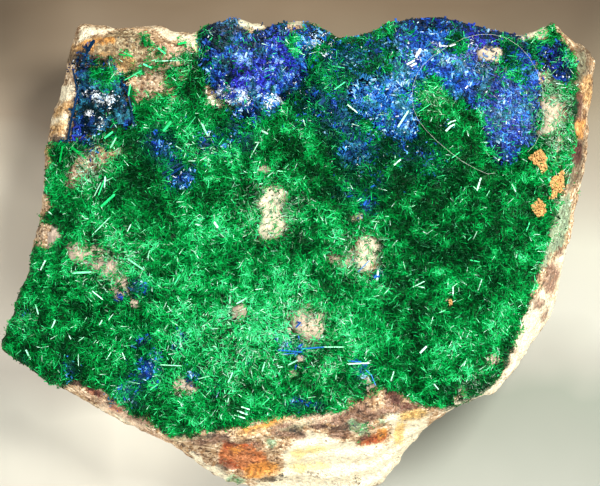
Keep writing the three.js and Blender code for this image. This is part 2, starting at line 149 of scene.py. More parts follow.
# The sum of noises: each is a size, a strength, a seed and a number of octaves
def noiseSum(layers, places):
    return sum(strength * noise(places, size, seed, octaves) for size, strength, seed, octaves in layers)


# A grid of heights over some meshes, seen from above, which can be asked for the height at any place
class HeightMap:
    def __init__(self, meshes, spacing):
        points = [np.array([vertex.co for vertex in mesh.vertices]) for mesh in meshes]
        low = np.min([each.min(0) for each in points], axis=0)[:2]
        high = np.max([each.max(0) for each in points], axis=0)[:2]
        self.spacing = spacing
        self.low = low - 2 * spacing
        self.counts = np.ceil((high - self.low) / spacing).astype(int) + 3
        self.heights = np.full(tuple(self.counts), np.nan)
        for mesh, corners in zip(meshes, points):
            self.heights = np.fmax(self.heights, self.seenFromAbove(mesh, corners))
        self.solid = ~np.isnan(self.heights)

    def seenFromAbove(self, mesh, corners):
        tree = BVHTree.FromPolygons(corners.tolist(), [tuple(face.vertices) for face in mesh.polygons])
        heights = np.full(tuple(self.counts), np.nan)
        down = Vector((0, 0, -1))
        for i in range(self.counts[0]):
            for j in range(self.counts[1]):
                start = Vector((self.low[0] + i * self.spacing, self.low[1] + j * self.spacing, 1))
                hit = tree.ray_cast(start, down)[0]
                if hit is not None:
                    heights[i, j] = hit.z
        return heights

    # Spreads the heights past the edge, so that places near it have one too
    def spread(self, steps):
        for step in range(steps):
            around = self.shifted(self.heights)
            with np.errstate(all="ignore"):
                count = np.sum(~np.isnan(around), axis=0)
                mean = np.nansum(around, axis=0) / np.maximum(count, 1)
            empty = np.isnan(self.heights) & (count > 0)
            self.heights[empty] = mean[empty]

    # The grid and its eight neighbours, each moved onto it
    def shifted(self, grid, fill=np.nan):
        padded = np.pad(grid.astype(float), 1, constant_values=fill)
        rows, columns = grid.shape
        return np.stack([padded[i : i + rows, j : j + columns] for i in range(3) for j in range(3)])

    # Takes off what stands up from the surface, such as the solid's own crystals
    def flatten(self, steps, smoothing):
        for step in range(steps):
            self.heights = np.nanmin(self.shifted(self.heights), axis=0)
        for step in range(steps):
            self.heights = np.nanmax(self.shifted(self.heights), axis=0)
        for step in range(smoothing):
            self.heights = np.nanmean(self.shifted(self.heights), axis=0)
        return self

    # Fills narrow trenches up to the level of their banks
    def fillTrenches(self, steps):
        filled = self.heights
        for step in range(steps):
            filled = np.nanmax(self.shifted(filled), axis=0)
        for step in range(steps):
            filled = np.min(self.shifted(filled), axis=0)
        self.heights = np.fmax(self.heights, filled)

    # How far inside the solid's footprint each grid point is, up to a limit
    def edgeDistance(self, steps):
        inside = self.solid.astype(float)
        total = np.zeros_like(inside)
        for step in range(steps):
            inside = self.shifted(inside, 0.0).min(0) if step % 2 else self.crossMin(inside)
            total += inside
        return total * self.spacing

    def crossMin(self, grid):
        return self.shifted(grid, 0.0)[[1, 3, 4, 5, 7]].min(0)

    def places(self):
        i, j = np.indices(tuple(self.counts))
        return np.stack([self.low[0] + i * self.spacing, self.low[1] + j * self.spacing], -1)

    # A grid's value at any place, blended from the four grid points around it
    def sample(self, grid, places):
        scaled = (places - self.low) / self.spacing
        scaled = np.clip(scaled, 0, self.counts - 1.001)
        cell = np.floor(scaled).astype(int)
        part = scaled - cell
        total = np.zeros(len(places))
        for i, j in np.ndindex(2, 2):
            weight = np.abs(1 - i - part[:, 0]) * np.abs(1 - j - part[:, 1])
            total += weight * grid[cell[:, 0] + i, cell[:, 1] + j]
        return total

    # Whether each place is over the footprint; at its edge the share of solid falls from 1 to 0
    def holds(self, places, share=0.6):
        high = self.low + (self.counts - 1) * self.spacing
        inRange = np.all((places > self.low) & (places < high), 1)
        return inRange & (self.sample(self.solid.astype(float), places) > share)


# A shader node with its settings and inputs; an input may be a value or another node's output
def addNode(tree, kind, inputs=None, **settings):
    node = tree.nodes.new(kind)
    for name, value in settings.items():
        setattr(node, name, value)
    for name, value in (inputs or {}).items():
        if isinstance(value, bpy.types.NodeSocket):
            tree.links.new(value, node.inputs[name])
        else:
            node.inputs[name].default_value = value
    return node


def newMaterial(name, roughness, specular):
    material = bpy.data.materials.new(name)
    material.use_nodes = True
    shader = material.node_tree.nodes["Principled BSDF"]
    shader.inputs["Roughness"].default_value = roughness
    shader.inputs["Specular IOR Level"].default_value = specular
    return material, material.node_tree, shader


# Two colours mixed by a share
def mixed(tree, share, first, second, blend="MIX"):
    node = addNode(tree, "ShaderNodeMix", data_type="RGBA", blend_type=blend)
    for socket, value in zip((node.inputs[0], node.inputs[6], node.inputs[7]), (share, first, second)):
        if isinstance(value, bpy.types.NodeSocket):
            tree.links.new(value, socket)
        elif isinstance(value, tuple):
            socket.default_value = (*value, 1)
        else:
            socket.default_value = value
    return node.outputs[2]


def calculated(tree, operation, first, second):
    return addNode(tree, "ShaderNodeMath", {0: first, 1: second}, operation=operation).outputs[0]


def product(tree, first, second):
    return calculated(tree, "MULTIPLY", first, second)


# The sum of some values, each times its weight
def weightedSum(tree, terms):
    products = [product(tree, value, weight) for value, weight in terms]
    total = products[0]
    for term in products[1:]:
        total = calculated(tree, "ADD", total, term)
    return total


# A value that the mesh has at each vertex
def attribute(tree, name, output="Fac"):
    return addNode(tree, "ShaderNodeAttribute", attribute_name=name).outputs[output]


def objectPlace(tree):
    return addNode(tree, "ShaderNodeTexCoord").outputs["Object"]


# Fine cells: the texture, and a number by chance for each cell
def cellTexture(tree, place, size):
    cells = addNode(tree, "ShaderNodeTexVoronoi", {"Vector": place, "Scale": 1 / size})
    chance = addNode(tree, "ShaderNodeSeparateColor", {"Color": cells.outputs["Color"]}).outputs[0]
    return cells, chance


def noiseTexture(tree, place, size, detail, stretch=None):
    if stretch:
        place = addNode(tree, "ShaderNodeMapping", {"Vector": place, "Scale": stretch}).outputs[0]
    inputs = {"Vector": place, "Scale": 1 / size, "Detail": detail}
    return addNode(tree, "ShaderNodeTexNoise", inputs).outputs["Fac"]


def ramp(tree, share, stops):
    node = addNode(tree, "ShaderNodeValToRGB", {"Fac": share})
    while len(node.color_ramp.elements) < len(stops):
        node.color_ramp.elements.new(0.5)
    for element, (position, colour) in zip(node.color_ramp.elements, stops):
        element.position = position
        element.color = (*colour, 1)
    return node.outputs["Color"]


# How far a value has gone from a low one to a high one, from 0 to 1
def shareOf(tree, value, low, high, way="LINEAR"):
    inputs = {"Value": value, "From Min": low, "From Max": high}
    return addNode(tree, "ShaderNodeMapRange", inputs, interpolation_type=way).outputs[0]


def spreadOf(tree, value, low, high):
    return shareOf(tree, value, low, high, "SMOOTHSTEP")


def addBump(tree, shader, height, strength, depth):
    bump = addNode(tree, "ShaderNodeBump", {"Strength": strength, "Distance": depth, "Height": height})
    tree.links.new(bump.outputs[0], shader.inputs["Normal"])


# A mesh object from arrays, with colours or other values at each vertex
def meshPiece(name, vertices, faces, material, values=None, smooth=False):
    mesh = bpy.data.meshes.new(name)
    mesh.from_pydata(np.asarray(vertices).reshape(-1, 3).tolist(), [], faces)
    for valueName, array in (values or {}).items():
        array = np.asarray(array, np.float32)
        if array.ndim == 2:
            colours = np.ones((len(array), 4), np.float32)
            colours[:, :3] = array
            attributeMade = mesh.attributes.new(valueName, "FLOAT_COLOR", "POINT")
            attributeMade.data.foreach_set("color", colours.ravel())
        else:
            mesh.attributes.new(valueName, "FLOAT", "POINT").data.foreach_set("value", array)
    mesh.materials.append(material)
    mesh.polygons.foreach_set("use_smooth", np.full(len(mesh.polygons), smooth))
    mesh.update()
    piece = bpy.data.objects.new(name, mesh)
    bpy.context.scene.collection.objects.link(piece)
    return piece


# Hangs a visible piece on the root and hides the CAD piece that it stands for
def dress(piece, node):
    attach(piece, "root")
    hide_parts(node)


def report(title, *pieces):
    triangles = sum(len(face.vertices) - 2 for piece in pieces for face in piece.data.polygons)
    print(title, "made:", triangles, "triangles")


# Specks of azurite in the felt: x, y and radius in pixels, and how thick they are
specks = [
    (160, 145, 14, 0.8), (172, 162, 9, 0.6), (188, 176, 8, 1.0), (208, 143, 12, 0.6), (352, 152, 14, 0.7),
    (366, 205, 8, 0.5), (176, 182, 8, 0.8), (140, 286, 9, 0.7), (120, 296, 4, 0.7), (142, 340, 7, 0.6),
    (148, 370, 12, 1.0), (192, 375, 7, 0.6), (68, 372, 8, 0.6), (128, 394, 14, 0.6), (300, 347, 9, 0.5),
    (285, 345, 7, 0.5), (362, 370, 9, 0.5), (295, 405, 8, 0.6), (318, 406, 6, 0.6), (322, 100, 26, 0.6),
    (335, 60, 16, 0.4), (378, 275, 5, 0.7), (362, 150, 15, 0.8), (240, 135, 16, 0.5), (296, 326, 5, 0.7),
    (365, 264, 6, 0.9), (360, 45, 24, 0.6), (385, 42, 14, 0.5), (345, 120, 16, 0.6), (405, 150, 14, 0.4),
    (90, 130, 16, 0.8), (370, 205, 7, 0.5), (378, 185, 10, 0.3), (520, 45, 14, 0.4), (175, 345, 5, 0.6),
    (182, 335, 4, 0.7), (430, 160, 16, 0.3), (350, 190, 12, 0.3), (155, 355, 6, 0.5), (24, 358, 4, 0.5),
    (22, 315, 4, 0.4), (248, 362, 4, 0.5), (215, 390, 5, 0.4),
]

# How far the felt reaches on the front: where it meets an edge it runs past it
feltOutline = [
    (52, 142), (64, 140), (84, 138), (104, 127), (131, 124), (132, 114), (140, 105), (150, 97), (163, 97),
    (170, 86), (167, 70), (172, 57), (186, 54), (197, 50), (198, 10), (554, 10), (557, 31), (567, 44),
    (575, 54), (577, 62), (578, 100), (576, 122), (575, 145), (571, 170), (566, 188), (557, 200),
    (553, 225), (550, 243), (540, 268), (531, 302), (523, 325), (515, 342), (507, 367), (495, 386),
    (467, 405), (440, 411), (425, 407), (410, 399), (400, 392), (385, 389), (375, 397), (358, 404),
    (340, 411), (310, 415), (280, 417), (262, 423), (231, 429), (200, 433), (166, 438), (160, 432),
    (150, 425), (135, 418), (120, 408), (110, 400), (100, 391), (90, 385), (75, 382), (66, 384), (56, 398),
    (28, 384), (-8, 364), (-10, 345), (3, 315), (12, 290), (24, 250), (34, 243), (52, 241), (60, 234),
    (54, 226), (36, 223), (40, 214), (52, 208), (46, 196), (36, 188), (42, 172), (50, 164),
]

# Where azurite grows instead
azuritePatches = [
    [(199, 40), (200, 15), (300, 8), (328, 34), (326, 44), (314, 52), (308, 78), (296, 90), (286, 100),
     (280, 108), (268, 118), (246, 124), (234, 108), (215, 96), (204, 84), (200, 60)],
    [(392, 10), (480, 10), (530, 30), (530, 48), (540, 62), (545, 105), (543, 125), (535, 140), (512, 162),
     (500, 168), (489, 145), (482, 110), (458, 100), (446, 84), (430, 78), (420, 82), (418, 100),
     (420, 120), (414, 138), (398, 141), (380, 136), (372, 122), (356, 112), (343, 100), (346, 82),
     (360, 74), (385, 72), (396, 55), (394, 30)],
    [(70, 64), (80, 60), (90, 42), (95, 41), (92, 60), (112, 64), (120, 76), (127, 90), (132, 106),
     (134, 126), (105, 127), (90, 130), (84, 141), (66, 141), (70, 118), (76, 92), (71, 78)],
    [(540, 44), (556, 38), (570, 50), (574, 62), (572, 80), (555, 80), (545, 72), (538, 60)],
]


# Windows where bare rock shows through the felt
windows = [
    [(260, 184), (275, 181), (286, 190), (289, 203), (283, 211), (290, 220), (288, 233), (275, 241),
     (260, 243), (255, 234), (256, 222), (259, 214), (254, 204), (256, 192)],
    [(358, 234), (374, 233), (384, 243), (383, 257), (376, 263), (370, 275), (360, 275), (356, 269),
     (345, 271), (332, 269), (326, 261), (331, 254), (345, 255), (357, 252)],
    [(290, 315), (299, 306), (312, 304), (322, 311), (328, 321), (326, 335), (319, 342), (306, 344),
     (295, 338), (288, 328)],
    [(471, 56), (478, 43), (484, 42), (506, 50), (506, 54), (492, 60), (477, 60)],
    [(524, 60), (536, 64), (544, 76), (540, 84), (530, 76)],
    [(537, 100), (556, 98), (560, 112), (556, 128), (546, 136), (538, 134), (542, 118)],
    [(206, 88), (218, 90), (224, 100), (218, 106), (208, 104)],
    [(236, 12), (264, 12), (265, 27), (252, 30), (238, 25)],
    [(288, 12), (306, 12), (307, 26), (296, 28), (288, 26)],
    [(512, 24), (546, 24), (546, 37), (530, 39), (512, 38)],
]


def windowShare(places):
    return greatestShare(windows, places, *edges["windows"])


# Places where the felt is thin, down to the stone in parts
thinZones = [
    (110, 268, 22, 0.65), (85, 252, 16, 0.6), (50, 235, 10, 1.2), (222, 330, 16, 0.4), (180, 386, 11, 0.9),
    (240, 312, 9, 0.8), (130, 150, 12, 0.35), (150, 98, 8, 0.5), (448, 300, 3, 0.8), (122, 290, 10, 1.0),
    (74, 252, 10, 0.7), (134, 304, 5, 1.2), (300, 358, 6, 0.9), (366, 378, 8, 0.7), (463, 385, 7, 0.4),
    (76, 174, 11, 1.2), (86, 162, 10, 0.8), (99, 158, 11, 1.2), (70, 183, 6, 0.8), (44, 246, 6, 0.7),
    (558, 165, 14, 0.5), (292, 374, 5, 0.9), (205, 346, 8, 0.4), (352, 252, 5, 0.5), (494, 360, 10, 0.8),
    (236, 100, 10, 0.4), (115, 150, 8, 0.5), (558, 75, 16, 0.7), (562, 110, 12, 0.7), (560, 140, 12, 0.6),
    (172, 98, 8, 0.7), (178, 62, 6, 0.8), (184, 76, 6, 0.6), (374, 392, 8, 1.0), (352, 402, 8, 0.8),
    (460, 396, 8, 0.6), (145, 420, 8, 0.5), (355, 218, 6, 0.6), (262, 168, 6, 0.6), (372, 266, 5, 0.5),
    (515, 70, 12, 0.4), (195, 390, 8, 0.6), (190, 150, 6, 0.5), (158, 120, 8, 0.4), (360, 217, 5, 0.9),
    (268, 170, 5, 0.8), (240, 312, 6, 0.5),
]


# How bare the stone is left
def bareShare(places):
    return np.clip(windowShare(places) + zoneSum(thinZones, places), 0, 1)


# The rock
rock = {
    "voxel": 0.36 * mm,
    "finish": (0.8, 0.25),  # roughness and specular
    "stone": [
        (0.35, (0.1, 0.055, 0.03)), (0.43, (0.31, 0.21, 0.125)), (0.5, (0.49, 0.38, 0.25)),
        (0.56, (0.6, 0.485, 0.345)), (0.66, (0.82, 0.73, 0.56)),
    ],
    "pattern": {  # size, detail and share in the stone's tone
        "broad": (2.6 * mm, 6, 0.4),
        "beds": (2.4 * mm, 5, 0.25),
        "grain": (0.5 * mm, 4, 0.35),
    },
    "bedStretch": (1, 1, 6),  # how much finer the beds are upward
    "fine": (0.17 * mm, 3),
    "facets": 1.3 * mm,
    "cracks": [(0.0, (0.35, 0.3, 0.26)), (0.05, (0.9, 0.88, 0.86)), (0.12, (1.05, 1.05, 1.05))],
    "crackCover": 0.3,
    "shades": [(0.32, (0.35, 0.31, 0.29)), (0.48, (0.92, 0.9, 0.88)), (0.66, (1.4, 1.4, 1.38))],
    "speckles": [(0.3, (0.5, 0.45, 0.4)), (0.46, (0.95, 0.94, 0.93)), (0.7, (1.2, 1.18, 1.16))],
    "speckleCover": (0.75, 0.6),  # and how much less of it on chalk, where the stone is painted smooth and bright as if washed out by light
    "bump": 0.16 * mm,
    "bumpStrength": (0.9, 0.65),  # and how much less of it on pale stone
    "gritSize": 0.23 * mm,
    "gritCover": 0.85,
    "gritTones": [
        (0.0, (0.14, 0.1, 0.07)), (0.12, (0.34, 0.24, 0.15)), (0.26, (0.82, 0.62, 0.4)),
        (0.42, (0.98, 0.84, 0.68)), (0.7, (1.05, 1.0, 0.93)), (0.88, (1.35, 1.35, 1.32)),
        (0.96, (1.7, 1.75, 1.75)),
    ],
    "stains": {  # colour, and how much of the stone it hides
        # Chalk: pale cream stone, partly painted highlight where the light washes the faces out bright and
        # smooth
        "chalkAndHighlight": ((0.9, 0.86, 0.65), 0.95),
        "straw": ((0.86, 0.68, 0.22), 0.65),
        "dusty": ((0.37, 0.31, 0.24), 0.8),
        "gravel": ((0.25, 0.22, 0.14), 0.9),
        "rosy": ((0.66, 0.5, 0.38), 0.8),
        "ochre": ((0.58, 0.36, 0.13), 0.65),
        "plum": ((0.25, 0.155, 0.12), 0.85),
        "rust": ((0.5, 0.155, 0.04), 0.85),
        "red": ((0.33, 0.06, 0.015), 0.75),
        "moss": ((0.3, 0.37, 0.23), 0.5),
        "green": ((0.22, 0.44, 0.28), 0.75),
        "pale": ((0.64, 0.64, 0.49), 0.9),
        "rosyPale": ((0.48, 0.4, 0.32), 0.8),
        "amber": ((0.66, 0.31, 0.06), 0.8),
        "film": ((0.28, 0.47, 0.33), 0.88),
        "olive": ((0.17, 0.145, 0.1), 0.85),
        "maroon": ((0.095, 0.03, 0.026), 0.88),
        # Painted shade: dark lines where shadows fall in crevices, under the upper-left ledge and beside a
        # chip
        "paintedShade": ((0.04, 0.022, 0.016), 0.88),
        "felted": ((0.0015, 0.045, 0.012), 1.0),
        "crusted": ((0.004, 0.02, 0.07), 1.0),
    },
    "gritty": {  # how much grit each stain lets through
        "chalkAndHighlight": 0.14, "straw": 0.2, "dusty": 0.85, "gravel": 0.85, "plum": 0.8, "maroon": 0.8, "olive": 0.6,
        "pale": 0.12, "rosyPale": 0.25,
    },
    "usuallyGritty": 0.45,
    "stainWaver": {"grain": 0.7, "fine": 0.5, "broad": 0.8},  # what breaks the stains up
    "stainBroken": 1.5,
    "stainGain": 0.9,
    "stainRange": (0.25, 0.75),  # from where a stain starts to show to where it is full
    "stoneInStain": 0.3,
    "breakage": [(2.6 * mm, 0.2 * mm), (1.1 * mm, 0.13 * mm), (0.45 * mm, 0.06 * mm)],  # size and depth
    "bedding": (0.55 * mm, 0.13 * mm),
    "bedWaves": (5 * mm, 0.8),  # their size, and their height in beds
    "bedLumps": 4 * mm,
    "bedShift": 40,  # sets the lumps of one bed off from the next
    "swell": 0.1 * mm,
    "sunkFront": 0.26 * mm,
    "stainedTilt": (-0.25, 0.1),  # stains fade out from the front round to the back
    "dusty": [
        [(36, 224), (60, 226), (62, 240), (36, 246)],
        [(62, 150), (84, 146), (114, 150), (114, 166), (92, 178), (78, 190), (58, 188)],
        [(136, 72), (150, 66), (166, 68), (170, 88), (162, 102), (146, 105), (134, 100)],
        [(150, 52), (170, 56), (190, 50), (200, 50), (200, 58), (186, 60), (160, 62)],
        [(300, 418), (340, 412), (350, 418), (320, 424), (270, 428), (240, 430), (250, 424)],
    ],
    "gravel": [
        [(92, 41), (104, 35), (120, 31), (136, 30), (148, 36), (150, 48), (168, 56), (168, 66), (150, 72),
         (120, 62), (94, 58)],
        [(344, 410), (356, 405), (372, 412), (384, 412), (396, 412), (380, 420), (352, 426), (336, 424)],
    ],
    "rosy": [
        [(150, 44), (166, 42), (186, 46), (202, 44), (202, 54), (180, 58), (158, 54)],
        [(72, 389), (84, 392), (100, 398), (122, 410), (140, 420), (156, 434), (170, 442), (150, 436),
         (120, 420), (94, 406)],
        [(550, 262), (562, 262), (560, 300), (550, 300)],
        [(300, 420), (340, 413), (346, 418), (320, 424), (280, 428)],
    ],
    "rosyPale": [
        [(286, 300), (334, 300), (334, 348), (286, 348)],
        [(532, 94), (564, 94), (564, 140), (532, 140)],
        [(520, 54), (548, 54), (548, 90), (520, 90)],
        [(468, 36), (518, 40), (518, 66), (468, 66)],
        [(326, 250), (350, 250), (352, 276), (326, 276)],
    ],
    "straw": [
        [(398, 414), (428, 409), (428, 416), (402, 422)],
        [(396, 424), (405, 420), (403, 446), (394, 448)],
        [(285, 454), (318, 447), (330, 451), (300, 460)],
        [(282, 468), (304, 463), (340, 470), (300, 476)],
        [(250, 424), (276, 420), (300, 419), (296, 424), (262, 429)],
    ],
    "maroon": [
        [(385, 393), (395, 390), (402, 399), (400, 405), (391, 403)],
        [(400, 400), (412, 402), (424, 406), (420, 410), (402, 408)],
        [(64, 379), (84, 379), (97, 387), (93, 392), (78, 387), (66, 386)],
        [(88, 391), (100, 393), (106, 399), (96, 399)],
        [(572, 92), (585, 92), (585, 120), (572, 122)],
        [(572, 142), (585, 142), (583, 162), (571, 160)],
        [(356, 440), (366, 434), (374, 436), (366, 444), (358, 446)],
    ],
    "red": [
        [(224, 443), (246, 444), (258, 450), (248, 452), (230, 450), (224, 456)],
        [(216, 455), (226, 462), (240, 470), (236, 474), (220, 464)],
        [(356, 446), (366, 441), (380, 437), (388, 434), (384, 440), (370, 446)],
        [(84, 387), (94, 389), (100, 396), (90, 396)],
        [(110, 403), (122, 409), (120, 413), (110, 408)],
    ],
    "moss": [
        [(280, 432), (300, 424), (316, 422), (300, 430)],
        [(160, 432), (190, 436), (214, 436), (200, 440), (170, 438)],
    ],
    "rust": [
        [(222, 446), (240, 443), (256, 446), (266, 456), (272, 466), (262, 476), (244, 478), (228, 466),
         (214, 458)],
        [(357, 444), (366, 438), (378, 432), (390, 431), (386, 440), (376, 445), (362, 447)],
    ],
    "ochre": [
        [(232, 432), (244, 427), (262, 424), (272, 418), (290, 418), (284, 423), (266, 430), (250, 436),
         (238, 438)],
        [(240, 474), (256, 470), (276, 466), (282, 474), (266, 482), (246, 482)],
        [(398, 412), (430, 410), (430, 418), (410, 420), (400, 424)],
        [(580, 76), (596, 72), (594, 108), (582, 104)],
        [(84, 41), (96, 36), (104, 34), (100, 40), (90, 44)],
        [(92, 52), (104, 53), (114, 56), (112, 60), (94, 57)],
        [(114, 62), (122, 58), (132, 60), (134, 68), (124, 71), (114, 68)],
        [(54, 104), (72, 100), (72, 112), (52, 118)],
        [(50, 124), (66, 120), (64, 132), (49, 134)],
        [(70, 44), (82, 42), (82, 56), (68, 60)],
        [(44, 150), (52, 146), (54, 166), (46, 170)],
        [(396, 428), (406, 424), (404, 440), (394, 444)],
    ],
    "plum": [
        [(192, 436), (226, 434), (230, 441), (214, 446), (200, 446), (186, 442)],
        [(226, 443), (256, 442), (264, 446), (252, 449), (230, 448)],
        [(268, 430), (288, 425), (304, 430), (306, 437), (296, 439), (276, 435)],
        [(312, 426), (324, 424), (334, 427), (328, 431), (314, 430)],
        [(324, 430), (346, 427), (352, 434), (346, 440), (330, 437)],
        [(330, 420), (345, 410), (358, 404), (368, 404), (374, 410), (384, 406), (384, 390), (392, 390),
         (400, 402), (424, 404), (420, 410), (396, 412), (384, 418), (372, 424), (340, 428)],
        [(120, 408), (140, 414), (156, 428), (146, 430), (126, 418)],
        [(556, 248), (566, 242), (567, 254), (560, 260)],
        [(548, 268), (560, 264), (562, 276), (556, 292), (546, 296), (542, 284)],
        [(532, 302), (540, 299), (546, 304), (543, 310), (534, 310)],
        [(542, 302), (552, 304), (552, 316), (546, 324), (540, 320), (546, 312)],
        [(511, 341), (516, 340), (516, 352), (511, 358)],
        [(506, 360), (514, 362), (506, 372), (500, 370)],
        [(186, 446), (196, 450), (214, 462), (230, 468), (228, 471), (210, 466), (192, 454)],
    ],
    "green": [
        [(266, 438), (276, 440), (282, 446), (272, 448), (264, 444)],
        [(350, 420), (366, 424), (374, 434), (362, 438), (350, 430)],
        [(378, 418), (388, 420), (386, 427), (378, 426)],
        [(230, 478), (244, 482), (240, 488), (226, 486)],
        [(320, 474), (332, 476), (326, 482)],
    ],
    "film": [
        [(577, 50), (587, 46), (589, 68), (580, 76)],
        [(553, 198), (572, 192), (572, 226), (562, 248), (552, 258), (544, 270), (538, 278), (538, 266),
         (548, 240)],
        [(546, 64), (574, 60), (575, 95), (560, 98), (548, 84)],
        [(544, 130), (574, 128), (572, 180), (548, 150)],
    ],
    "olive": [
        [(574, 46), (584, 42), (596, 50), (592, 72), (582, 76), (580, 96), (574, 118), (573, 80)],
        [(570, 142), (590, 136), (586, 180), (568, 192)],
        [(66, 50), (84, 48), (92, 52), (112, 56), (112, 62), (64, 62)],
    ],
    "pale": windows,
    "amber": [
        [(378, 432), (388, 429), (389, 436), (380, 439)],
        [(74, 49), (92, 46), (92, 51), (74, 54)],
        [(575, 118), (589, 116), (588, 142), (575, 140)],
        [(80, 42), (96, 38), (112, 37), (112, 40), (90, 44)],
        [(244, 470), (258, 464), (270, 462), (278, 466), (270, 476), (254, 482), (240, 480)],
        [(238, 428), (262, 424), (272, 418), (284, 419), (268, 426), (246, 434)],
        [(228, 449), (240, 446), (246, 452), (236, 456)],
    ],
    "felted": [
        feltOutline,
        [(84, 139), (105, 125), (130, 122), (126, 92), (130, 88), (140, 104), (142, 132), (84, 146)],
    ],
    "crusted": azuritePatches[:2] + azuritePatches[3:],
    # Pale cream stone, partly painted highlight on the brightly lit faces and bevels
    "chalkAndHighlight": [
        [(282, 452), (300, 436), (310, 432), (330, 438), (352, 444), (388, 448), (392, 430), (384, 414),
         (400, 408), (404, 422), (430, 412), (430, 486), (240, 500), (262, 484), (284, 474)],
        [(234, 424), (270, 422), (300, 418), (346, 408), (352, 416), (310, 424), (262, 430)],
        [(516, 330), (536, 300), (560, 250), (575, 250), (560, 320), (520, 384), (450, 420), (440, 408),
         (500, 376)],
        [(78, 24), (92, 24), (114, 29), (108, 34), (94, 38), (82, 42), (75, 42)],
        [(150, 26), (164, 26), (184, 34), (200, 32), (200, 44), (186, 46), (166, 40)],
        [(236, 18), (264, 24), (264, 30), (236, 26)],
        [(188, 448), (204, 462), (232, 478), (226, 490), (190, 462)],
        [(92, 398), (120, 406), (150, 426), (140, 432), (96, 408)],
        [(474, 40), (510, 44), (508, 62), (476, 60)],
        [(52, 90), (72, 84), (70, 100), (54, 102)],
        [(48, 116), (64, 112), (66, 122), (50, 126)],
        [(204, 84), (222, 88), (226, 106), (210, 104)],
    ],
    # Painted shade: where shadows fall in crevices, under the upper-left ledge and beside a chip
    "paintedShade": [
        [(308, 426), (318, 425), (330, 428), (322, 429), (310, 428)],
        [(291, 431), (297, 431), (304, 435), (299, 436)],
        [(188, 437), (224, 434), (226, 436), (190, 439)],
        [(66, 381), (80, 381), (96, 389), (92, 391), (80, 386), (66, 384)],
        [(60, 58), (84, 58), (112, 59), (113, 62), (88, 61), (60, 62)],
        [(132, 84), (136, 84), (134, 92), (134, 99), (140, 107), (137, 109), (131, 102), (130, 92)],
        [(48, 136), (62, 136), (62, 143), (50, 144)],
        [(388, 393), (395, 391), (402, 401), (394, 403)],
        [(70, 54), (85, 52), (85, 56), (70, 58)],
        [(358, 401), (364, 402), (372, 408), (366, 407)],
        [(130, 414), (140, 420), (144, 427), (132, 419)],
        [(102, 398), (108, 402), (112, 407), (104, 403)],
        [(182, 446), (200, 456), (214, 464), (226, 472), (224, 474), (206, 463), (186, 451)],
        [(254, 483), (287, 480), (287, 481), (256, 484)],
        [(350, 484), (361, 484), (360, 487), (350, 487)],
        [(226, 443), (244, 442), (250, 443), (230, 445)],
        [(330, 429), (344, 426), (348, 427), (333, 430)],
    ],
}


# Broken, gritty stone at any place: its colour, its grit, its height, and the noises behind it
def stonePattern(tree, place):
    noises = {}
    for name, (size, detail, share) in rock["pattern"].items():
        stretch = rock["bedStretch"] if name == "beds" else None
        noises[name] = noiseTexture(tree, place, size, detail, stretch)
    shares = [(noises[name], share) for name, (size, detail, share) in rock["pattern"].items()]
    stone = ramp(tree, weightedSum(tree, shares), rock["stone"])
    cells, chance = cellTexture(tree, place, rock["gritSize"])
    grit = ramp(tree, chance, rock["gritTones"])
    stone = mixed(tree, rock["gritCover"], stone, grit, "MULTIPLY")
    bentInputs = {0: place, 1: cells.outputs["Position"]}  # so that the facets' edges follow the grit
    bent = addNode(tree, "ShaderNodeVectorMath", bentInputs, operation="ADD").outputs[0]
    facetInputs = {"Vector": bent, "Scale": 0.5 / rock["facets"]}
    facets = addNode(tree, "ShaderNodeTexVoronoi", facetInputs, feature="DISTANCE_TO_EDGE")
    fromEdge = facets.outputs["Distance"]
    stone = mixed(tree, rock["crackCover"], stone, ramp(tree, fromEdge, rock["cracks"]), "MULTIPLY")
    height = calculated(tree, "SUBTRACT", product(tree, chance, 0.5), cells.outputs["Distance"])
    height = calculated(tree, "ADD", height, calculated(tree, "MINIMUM", product(tree, fromEdge, 6.0), 0.4))
    height = calculated(tree, "ADD", height, noises["grain"])
    return stone, grit, height, noises


def rockMaterial():
    material, tree, shader = newMaterial("stainedRock", *rock["finish"])
    place = objectPlace(tree)
    stone, grit, height, noises = stonePattern(tree, place)
    noises["fine"] = noiseTexture(tree, place, *rock["fine"])
    waver = weightedSum(tree, [(noises[name], share) for name, share in rock["stainWaver"].items()])
    broken = product(tree, calculated(tree, "SUBTRACT", waver, 1.0), rock["stainBroken"])
    shade = ramp(tree, noises["grain"], rock["shades"])
    for stainName, (colour, cover) in rock["stains"].items():
        stain = product(tree, attribute(tree, stainName), rock["stainGain"])
        shown = spreadOf(tree, calculated(tree, "ADD", stain, broken), *rock["stainRange"])
        gritty = rock["gritty"].get(stainName, rock["usuallyGritty"])
        tint = mixed(tree, min(1.0, 2 * gritty), colour, shade, "MULTIPLY")
        tint = mixed(tree, rock["stoneInStain"], tint, mixed(tree, 1.0, stone, colour, "MULTIPLY"))
        tint = mixed(tree, gritty, tint, grit, "MULTIPLY")
        stone = mixed(tree, product(tree, shown, cover), stone, tint)
    most, less = rock["speckleCover"]
    speckled = calculated(tree, "SUBTRACT", most, product(tree, attribute(tree, "chalkAndHighlight"), less))
    stone = mixed(tree, speckled, stone, ramp(tree, noises["fine"], rock["speckles"]), "MULTIPLY")
    tree.links.new(stone, shader.inputs["Base Color"])
    most, less = rock["bumpStrength"]
    strength = calculated(tree, "SUBTRACT", most, product(tree, attribute(tree, "pale"), less))
    addBump(tree, shader, height, strength, rock["bump"])
    return material


